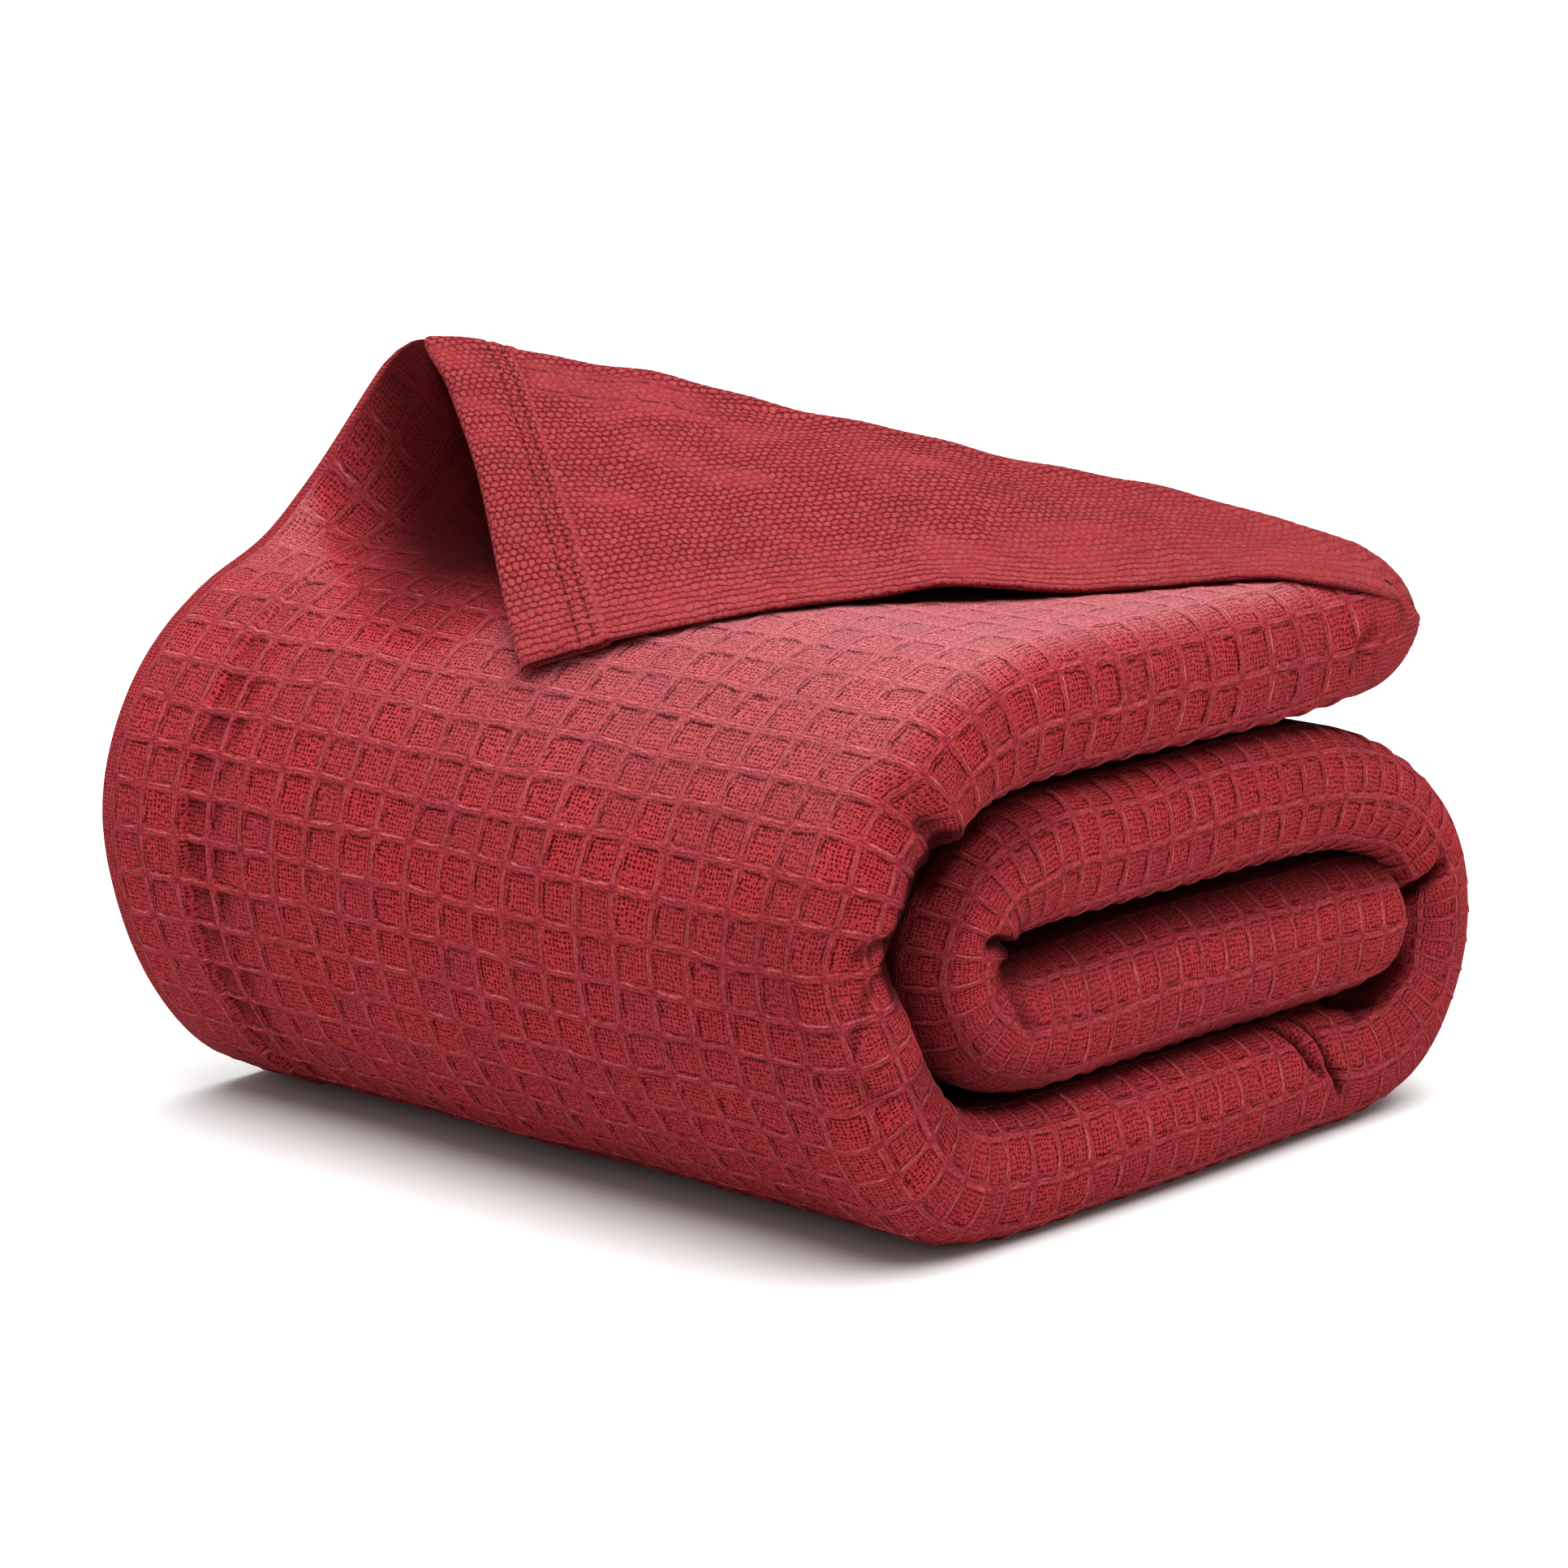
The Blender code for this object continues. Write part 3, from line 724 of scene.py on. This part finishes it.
def underCorner(x, y):
    # painted shade inside the hollow in front of the crest, and painted shadow where the turned corner
    # covers the top and in a line along its edge
    ahead, beside = x - crest[0, 0], y - crest[0, 1]
    wayX, wayY = hemLine["way"]
    out = wayY * ahead - wayX * beside
    along = (wayX * ahead + wayY * beside) / hemLine["length"]
    hollow = 0.97 * ease(1 - (out - 6) / 42) ** 1.2 * beforeCrest(x, y)
    hollow = hollow * grow(along, 0.9, -0.4) * grow(along, -0.3, 0.2)
    edgeY = np.interp(x, cornerEdge[:, 0], cornerEdge[:, 1])
    reached = x > cornerEdge[0, 0]
    coverShadow = reached * ease((y - edgeY - 2) / 4) * grow(x, 139.5, -2.5) * beforeCrest(x, y)
    edgeShadow = 0.6 * reached * grow(x, 96, 8) * np.exp(-((y - edgeY + 0.5) / 2.4) ** 2)
    return hollow, np.maximum(coverShadow, edgeShadow)


# on top the pockets lie flatter and carry a painted sheen, up to a line along the strip, further on the
# left
topLook = dict(run=212, fade=50, leftMore=26, flatter=0.66, paintedSheen=0.34, moreSheenRun=250, moreSheen=0.3)


def topLooks(a, s, z):
    offEdge = grow(-a, 0.9, 1.3)
    run = topLook["run"] + topLook["leftMore"] * grow(-a, 8, 5)
    flat = topLook["flatter"] * ease((run - s) / topLook["fade"]) * (z > 105)
    moreSheen = ease((topLook["moreSheenRun"] - s) / topLook["fade"]) * (0.3 + 0.7 * grow(a, -18, 10))
    sheenShare = topLook["paintedSheen"] * ease((topLook["run"] - s) / topLook["fade"]) + topLook["moreSheen"] * moreSheen
    return flat * offEdge, sheenShare * (z > 95) * offEdge


# the hem along the left end: two pockets wide, raised, with deeper pockets beside its seam that hold
# painted shade
hem = dict(seam=19.65, lift=0.9, groove=0.9, flatter=0.3, deeper=0.9, shade=0.76)
# a soft hollow beside the pinch, with painted shade in it
hollowBy = dict(run=264, runWide=22, across=-2.4, acrossWide=2, deep=1.4, dark=0.14)


def clothPiece(name, a, b, relief=1):
    # a part of the outermost layer over the sample lines a and b
    a, b = np.meshgrid(a, b)
    fromEdge, fromEnds = hemSide - np.abs(a), np.minimum(b, rows - b)
    strayA, strayB = strayed(a, b)
    strayA = strayA * ease(fromEdge / 1.2)
    base = sleeve(a + strayA * np.sign(np.abs(a)), b + strayB * ease(fromEnds / 0.8))
    normal = -normalsOf(base)
    s = alongAt(b)
    x, y, z = base[..., 0], base[..., 1], base[..., 2]
    border = 1 - grow(s, 24, 8)
    beyond = -a - hem["seam"]
    inHem = ease(beyond / 0.16)
    groove = np.exp(-(beyond / 0.07) ** 2)
    onFront = grow(s, 150, 40) * grow(s, 340, -30)
    beside = grow(beyond, -1.05, 0.08) * (1 - inHem) * onFront
    flat, sheenShare = topLooks(a, s, z)
    sheenShare = sheenShare * beforeCrest(x, y)
    # the rim of the lifted corner has no pockets, and near the big fold they are flatter
    rim = ease((-a - hemSide + 0.65) / 0.3) * grow(s, 175, -20)
    relieved = waffleRelief(a, b) * relief * (1 - border) * (1 - flat) * (1 - rim)
    relieved = relieved * (1 - 0.35 * grow(np.abs(a), 1.9, -0.6))
    depth = relieved * (1 - hem["flatter"] * inHem + hem["deeper"] * beside)
    depth = depth + (hem["lift"] * inHem - hem["groove"] * groove) * (relief == 1)
    depth = depth + 0.4 * rim * np.cos(2 * np.pi * b)
    push, dark = creased(a + strayA, s)
    across = (a - hollowBy["across"]) / hollowBy["acrossWide"]
    run = (s - hollowBy["run"]) / hollowBy["runWide"]
    hollowed = np.exp(-run ** 2 - across ** 2)
    push = push + hollowBy["deep"] * hollowed
    # painted shade in the pockets beside the hem's seam, where one turn closes on the next, in creases and
    # in the hollow by the pinch
    shade = hem["shade"] * beside * ease(-relieved) * (0.6 + 0.4 * patches(a, b * 0.7, 8))
    shade = np.max([shade, shadowed(a, s), dark, hollowBy["dark"] * hollowed], axis=0)
    # painted shade in the hollow before the crest, painted shadow under the turned corner and along its
    # edge, and flatter pockets in the hollow
    if name in ("topFace", "frontFace", "spiralEdge"):
        hollow, coverShadow = underCorner(x, y)
        hollow = hollow * grow(s, 230, -30)
        coverShadow = coverShadow * grow(s, 215, -15) * grow(-a, 0.1, 0.5)
        shade = np.max([shade, hollow, 0.85 * coverShadow], axis=0)
        depth = depth * (1 - 0.6 * hollow)
    # a painted sheen on top, held back where painted shade lies, goes into the shade as values below 0
    paintedSheen = sheenShare * (1 - ease(shade / 0.3))
    shade = np.where(paintedSheen > 0, shade * ease(shade / 0.3) - paintedSheen, shade)
    level = ease(fromEdge / 0.3) * ease(fromEnds / 0.3)  # keeps the edges closed
    points = base + normal * ((depth - push + 0.1) * level)[..., None]
    weave = np.stack([a + 64, b, border], -1)
    return sheetPiece(name, points, weave, waffleFinish, shade, flip=True)


topEnd, frontEnd, underEnd = rowAt(173), rowAt(359), rowAt(718)
frontFace = clothPiece("frontFace", steps(-hemSide, -capSide), steps(topEnd, frontEnd))
clothPiece("topFace", steps(-hemSide, -capSide), steps(0, topEnd))
clothPiece("spiralEdge", steps(-capSide, capSide), steps(0, rows))
clothPiece("backFace", steps(-hemSide, -capSide, coarse), steps(frontEnd, underEnd, coarse))
clothPiece("innerTurns", steps(-hemSide, -capSide, plain), steps(underEnd, rows, coarse), 0.6)
clothPiece("innerFace", steps(capSide, hemSide, plain), steps(0, rows, plain), 0.6)
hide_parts("blanket")


# left end: hemmed pair, hemmed pair, fold of four, fold of eight
leftEnd = dict(
    hemDepth=3.5, hemGap=0.15, secondBack=1.1,  # a hem's groove, and how far its second edge lies back
    slotSteps=(1, 3.5, 7, 12),
    # under the crest the layers part: the slots' shares of the lift, and how much deeper they get
    slotShare=(0.30, 0.20, 0.12), slotDeeper=(0.5, 0.3, 0.2), firstShare=0.14,
    bareColumns=46, hollowColumns=12, relief=0.7,
)


def leftOutline(s):
    # x, distance outwards and painted shade round the layers' edges, from the outer face to the inner
    # face, the shade lying in the hems' grooves and deepening down the slots
    nose, outer, inner, _, left = stripShape(s)
    y, z = at("y", s), at("z", s)
    onTop = isOnTop(s, z)
    raised = np.where(onTop, mound(left + 6, y), 0) * nose
    layers = np.array(roll["layerShare"])[:, None] / sum(roll["layerShare"])
    thick = layers * (outer + inner - 3 * roll["slotWidth"] * nose)
    spare = np.array(leftEnd["slotShare"])[:, None] * raised
    gaps = roll["slotWidth"] * nose + spare
    thick[0] += leftEnd["firstShare"] * raised
    thick[3] += (1 - leftEnd["firstShare"]) * raised - spare.sum(0)
    deep = roll["slotDepth"] + raised * np.array(leftEnd["slotDeeper"])[:, None]
    deep = deep * grow(nose, 0.35, 0.6) + 0.6
    shares = np.array(leftEnd["slotSteps"]) / leftEnd["slotSteps"][-1]
    edge = outer + raised

    def slotSide(k, mouth, side):
        # from a slot's mouth to its depth, with painted shade growing towards the depth
        return [(mouth + deep[k] * share, side - 0.25 * share * gaps[k], 0.55 * share) for share in shares]

    outline = [(left + roll["edgeReach"], edge, 0)]
    for k in range(4):
        high, low = edge, edge - thick[k]
        start = left + roll["layerBack"][k] * nose
        mouth = start + roll["edgeReach"]
        if k > 0:
            outline += slotSide(k - 1, mouth, high)[::-1]
        folds = [(high, low)]
        if k < 2:
            groove = 0.5 * (high + low)
            folds = [(high, groove + leftEnd["hemGap"]), (groove - leftEnd["hemGap"], low)]
        for number, (top, bottom) in enumerate(folds):
            middle, tall = 0.5 * (top + bottom), 0.5 * (top - bottom)
            reach = np.minimum(roll["edgeReach"], 1.2 * tall)
            if number:
                outline.append((start + leftEnd["hemDepth"], top + 0.1, 0.5))
            for turn in np.radians(np.linspace(90, -90, 13 if k > 1 else 9)):
                x = start + reach * (1 - np.cos(turn)) + leftEnd["secondBack"] * number * nose
                outline.append((x, middle + tall * np.sin(turn), 0))
            if k < 2 and not number:
                outline.append((start + leftEnd["hemDepth"], bottom - 0.1, 0.5))
        if k < 3:
            outline += slotSide(k, mouth, low)
            edge = low - gaps[k]
    outline.append((left + roll["edgeReach"], -inner, 0))
    xs, ns, paintedShading = [np.stack(part, -1) for part in zip(*outline)]
    # the lifted layers sink with the crest, away from this end
    sink = raised[:, None] - np.where(onTop, mound(xs.T, y), 0).T * nose[:, None]
    deepIn = ease((xs - left[:, None] - roll["edgeReach"]) / 4)
    return xs, ns - sink * deepIn, paintedShading


def leftFolds(name, b):
    s = alongAt(b)
    xs, ns, paintedShading = leftOutline(s)
    grid = np.broadcast_to(s[:, None], xs.shape)
    base = placeOn(grid, xs, ns)
    go = np.linalg.norm(np.diff(base, axis=1), axis=-1).mean(0)
    a = -hemSide - summed(go) / waffle["pocketWide"]
    column = np.arange(len(a))
    a, b = np.meshgrid(a, b)
    bare = 1 * (column < leftEnd["bareColumns"])
    relief = waffleRelief(a, b) * leftEnd["relief"] * (1 - bare)
    points = base + normalsOf(base) * relief[..., None]
    weave = np.stack([a + 128, b, np.broadcast_to(bare, a.shape)], -1)
    # painted shade in the hollow before the crest, joined to the painted shade of the slots and grooves
    hollow = underCorner(base[..., 0], base[..., 1])[0] * ease((base[..., 0] + 134) / 2.5)
    hollow = hollow * grow(grid, 170, -20) * (column < leftEnd["hollowColumns"])
    shade = np.maximum(np.broadcast_to(paintedShading, a.shape), hollow)
    sheetPiece(name, points, weave, waffleFinish, shade)


leftFolds("leftFoldsOuter", steps(0, rowAt(400), coarse))
leftFolds("leftFoldsInner", steps(rowAt(400), rows, coarse))

# ends of the strip: the layers' edges lie in rings
stripEnd = dict(size=(0.26, 0.011), points=160, rings=13, bulge=1.2, ripple=0.5)


def endCap(name, b, sign):
    s = alongAt(np.array([b]))
    across = np.linspace(-hemSide, hemSide, stripEnd["points"])
    xs, ns = leftOutline(s)[:2]
    left = placeOn(np.broadcast_to(s[:, None], xs.shape), xs, ns)[0][::-1]
    rim = np.concatenate([sleeve(across, np.full(len(across), b)), left])
    centre = rim.mean(0)
    shrink = np.linspace(1, 0, stripEnd["rings"])
    turn = at("turn", s)[0]
    ahead = np.array([0, np.cos(turn), np.sin(turn)]) * sign
    out = stripEnd["bulge"] * (1 - shrink) + stripEnd["ripple"] * np.sin(shrink * 12)
    points = centre + (rim - centre) * shrink[:, None, None] + ahead * out[:, None, None]
    weave = np.ones(points.shape)
    weave[..., 0] = np.arange(points.shape[1]) * 0.1
    weave[..., 1] = shrink[:, None] * 1.4
    sheetPiece(name, points, weave, waffleFinish, flip=sign > 0)


endCap("freeEnd", 0, -1)
endCap("innerEnd", rows, 1)

# the corner of the top layer, turned back over the roll
turned = dict(
    size=(0.30, 0.15), columnsAcross=301, rowsUp=250,
    flatRows=60, foldRows=12, slopeRows=20,  # on the flat, round the fold and behind the crest
    thick=2.5, hemWide=22, hemLift=0.5, hemUnder=1.5,
    foldFront=9, foldBack=9,  # where the round fold begins and ends
    tipRun=0.07, tipDrop=3,  # the crest dips at its left end
    hook=8, hookRun=0.16, hookRow=52, hookRows=19,  # and its hem leans to the right
    backShare=0.8, backLay=1, backDip=3.5, tipSink=3.5,
    underTall=178, crestShare=0.855,  # the weave's own size along the sheet
)
foremost = int(np.argmin(line["y"]))  # up to here the route runs over the top


def topHeight(x, y):
    s = np.interp(-y, -line["y"][:foremost], line["s"][:foremost])
    c = np.clip((x - roll["rightEnd"] + roll["capReach"] + 1) / roll["capReach"], 0, 1)
    roundness = (1 - c ** (2 / roll["capPower"])) ** (0.5 * roll["capPower"])
    return at("z", s) + at("outer", s) * noseAt(s) * roundness + mound(x, y)


def cornerPath(u):
    # one line of the sheet from its free edge over the crest and down behind it
    edge = edgeAt(u)
    x = crest[0, 0] + u * (crest[-1, 0] - crest[0, 0])
    crestY, crestZ = crestAt(x)
    tip = max(1 - u / turned["tipRun"], 0) ** 2
    uneven = 0.7 * (np.sin(27 * u + 1) + 0.6 * np.sin(61 * u)) * ease(u / 0.12) * grow(u, 1, -0.2)
    top = np.array([x, crestY, crestZ - 0.5 * turned["thick"] - 0.4 - turned["tipDrop"] * tip + uneven])
    span = np.linalg.norm(top - edge)
    front = min(turned["foldFront"] * (1 - 0.5 * u), 0.3 * span)
    w = np.linspace(0, 1 - front / span, turned["flatRows"])[:, None]
    bow = (4 * (1 - u) + 0.9 * np.sin(9 * u + 5 * w)) * np.sin(np.pi * w)
    flat = edge + (top - edge) * w + np.array([0, 0, 1]) * bow
    reach = slopeReach("back", max(crestZ - lifted["start"], 0)) * (1 - 0.75 * grow(u, 0.85, 0.15))
    back = turned["foldBack"] * (1 - 0.5 * u)
    far = np.linspace(back, reach * turned["backShare"] + 3, turned["slopeRows"])
    lay = turned["backLay"] - turned["tipSink"] * grow(u, 0.93, 0.07)
    height = topHeight(x, crestY + far) + lay - turned["backDip"] * ease((far - far[-1] + 5) / 5)
    slope = np.stack([np.full(len(far), x), crestY + far, height], -1)
    peak = top + np.array([0, 0, 0.34 * front])
    t = np.linspace(0, 1, turned["foldRows"] + 2)[1:-1, None]
    fold = flat[-1] * (1 - t) ** 2 + peak * 2 * t * (1 - t) + slope[0] * t ** 2
    path = np.concatenate([flat, fold, slope])
    held = max(1 - u / turned["hookRun"], 0) ** 1.5
    rise = np.concatenate([ease(w[:, 0] / 0.7), np.ones(len(path) - len(flat))])
    leaving = 1 - ease((np.arange(len(path)) - turned["hookRow"]) / turned["hookRows"])
    path[:, 0] += turned["hook"] * held * rise * leaving
    return path, runAlong(path), span


def cornerGrid(us, shares):
    # the sheet's points, and its weave: mm from the hem, from the free edge and from the crest
    points = np.zeros((len(shares), len(us), 3))
    weave = np.zeros((len(shares), len(us), 3))
    p = runAlong(np.array([edgeAt(u) for u in us]))
    crestX = crest[0, 0] + us * (crest[-1, 0] - crest[0, 0])
    r = turned["crestShare"] * runAlong(np.stack([crestX, *crestAt(crestX)], -1))
    for i, u in enumerate(us):
        path, go, span = cornerPath(u)
        spots = shares * go[-1]
        for k in range(3):
            points[:, i, k] = np.interp(spots, go, path[:, k])
        tall = turned["underTall"] * (1 - u) * (1 + 0.5 * u)
        share = np.clip(spots / span, 0, 1)
        weave[:, i, 0] = p[i] * (1 - share) + r[i] * share
        weave[:, i, 1] = np.where(spots < span, spots / span * tall, tall + spots - span)
        weave[:, i, 2] = np.abs(span - spots)
    return points, weave


rimTurns = np.radians([90, 60, 30])


def widened(grid):
    # the first column repeated for the rolled rim
    return np.concatenate([grid[:, :1]] * len(rimTurns) + [grid], axis=1)


def padded(weave):
    # the weave carried on round the rims
    out = np.arange(len(rimTurns), 0, -1)
    wide = widened(weave)
    wide[:, :len(out), 0] -= out
    wide = np.concatenate([wide[:1]] * len(out) + [wide], axis=0)
    wide[:len(out), :, 1] -= out[:, None]
    return wide


def rolled(face, way, out, half, turn, reach=1):
    # one ring of a rolled rim
    step = way * (half * np.sin(turn) * reach)[..., None]
    return face - step - out * (half * (1 - np.cos(turn)))[..., None]


def turnedCorner():
    us = np.linspace(0, 1, turned["columnsAcross"])
    shares = np.linspace(0, 1, turned["rowsUp"])
    middle, weave = cornerGrid(us, shares)
    normal = normalsOf(middle)
    p, q = weave[..., 0], weave[..., 1]
    inHem = 1 - ease((p - turned["hemWide"]) / 1.6)
    # slow waves, pebbles and the seams' grooves
    wave = 1.3 * patches(p / 46 + 2, q / 38, 21) * np.sin(np.pi * shares)[:, None]
    middle = middle + normal * wave[..., None]
    row = q / pebble["high"]
    column = p / pebble["wide"] + 0.5 * (np.floor(row) % 2)
    bead = np.cos(np.pi * (column % 1 - 0.5)) ** 0.5 * np.cos(np.pi * (row % 1 - 0.5)) ** 0.5
    seam = sum(np.exp(-((p - spot) / 0.8) ** 2) for spot in pebble["seams"])
    ridge = np.exp(-((p - pebble["strip"]) / 0.9) ** 4)
    bumpy = pebble["reliefDepth"] * np.nan_to_num(bead) * (1 - ridge) - 0.4 * seam + 0.25 * ridge
    thin = 0.5 * turned["thick"] * np.sqrt(grow(us, 1, -0.025))[None, :]
    outerLift = thin + turned["hemLift"] * inHem
    innerDrop = thin + turned["hemUnder"] * inHem
    outside = middle + normal * (outerLift + bumpy)[..., None]
    inside = middle - normal * innerDrop[..., None]
    # rounded rims: the hem edge, and the free edge below it
    half = 0.5 * (outerLift + innerDrop)
    ways = np.gradient(middle, axis=(1, 0))
    along, up = [way / np.linalg.norm(way, axis=-1, keepdims=True) for way in ways]

    def rims(face, sign):
        # adds rolled rows and columns round the face, towards the sheet's middle
        out = sign * normal
        left = [rolled(face[:, :1], along[:, :1], out[:, :1], half[:, :1], turn) for turn in rimTurns]
        wide = np.concatenate(left + [face], axis=1)
        upW, outW, halfW = widened(up)[:1], widened(out)[:1], widened(half)[:1]
        short = np.where(widened(inHem)[:1] > 0.5, 0.25, 1)
        reaches = (short, 1, 1)
        low = [rolled(wide[:1], upW, outW, halfW, *one) for one in zip(rimTurns, reaches)]
        return np.concatenate(low + [wide], axis=0)

    outerFace, outerWeave = rims(outside, 1), padded(weave)
    rimShade = np.zeros(outerFace.shape[:2])
    rimShade[0] = 0.85 * (outerWeave[0, :, 0] < turned["hemWide"])
    sheetPiece("turnedCorner", outerFace, outerWeave, pebbleFinish, rimShade)
    # the side below is plainer, and coarser
    innerFace, under = rims(inside, -1)[::3, ::3], outerWeave[::3, ::3].copy()
    underShade = np.zeros(innerFace.shape[:2])
    underShade[0] = 0.95 * (under[0, :, 0] < turned["hemWide"])
    under = under / (waffle["pocketWide"], waffle["rowPitch"], 1) * (1, 1, 0)
    sheetPiece("cornerUnderside", innerFace, under, waffleFinish, underShade, True)


turnedCorner()

# camera, floor and light
eye = dict(place=(0.96943, -1.08452, 0.41739), azimuth=42, elevation=12.6, lens=121.12, film=36)
lens = bpy.data.cameras.new("camera")
lens.lens, lens.sensor_width = eye["lens"], eye["film"]
lens.clip_start, lens.clip_end = 0.05, 20
camera = added("camera", lens)
turnAz, turnEl = np.radians(eye["azimuth"]), np.radians(eye["elevation"])
lookBack = Vector((np.sin(turnAz) * np.cos(turnEl), -np.cos(turnAz) * np.cos(turnEl), np.sin(turnEl)))
camera.rotation_mode = "QUATERNION"
camera.rotation_quaternion = (-lookBack).to_track_quat("-Z", "Y")
camera.location = eye["place"]
bpy.context.scene.camera = camera

studio = dict(
    floor=(0.75, 0.75, 0.75, 1), floorRough=0.8, floorHalf=30,
    sky=0.52, sun=5.9, sunSoft=76, sunFrom=(0.14, -0.04, 1),
)
far = studio["floorHalf"]
floorMesh = bpy.data.meshes.new("floor")
floorMesh.from_pydata([(-far, -far, 0), (far, -far, 0), (far, far, 0), (-far, far, 0)], [], [(0, 1, 2, 3)])
floor = added("floor", floorMesh)
floorPaint = Nodes("paleFloor")
floorPaint.shader.inputs["Base Color"].default_value = studio["floor"]
floorPaint.shader.inputs["Roughness"].default_value = studio["floorRough"]
floorMesh.materials.append(floorPaint.material)

world = bpy.data.worlds.new("world")
world.use_nodes = True
sky = world.node_tree.nodes["Background"]
sky.inputs[0].default_value = (1, 1, 1, 1)
sky.inputs[1].default_value = studio["sky"]
bpy.context.scene.world = world

overhead = bpy.data.lights.new("overhead", "SUN")
overhead.energy, overhead.angle = studio["sun"], np.radians(studio["sunSoft"])
lamp = added("overhead", overhead)
lamp.rotation_mode = "QUATERNION"
lamp.rotation_quaternion = Vector(studio["sunFrom"]).to_track_quat("Z", "Y")
bpy.context.scene.view_settings.view_transform = "Standard"
print("camera, floor and light made")
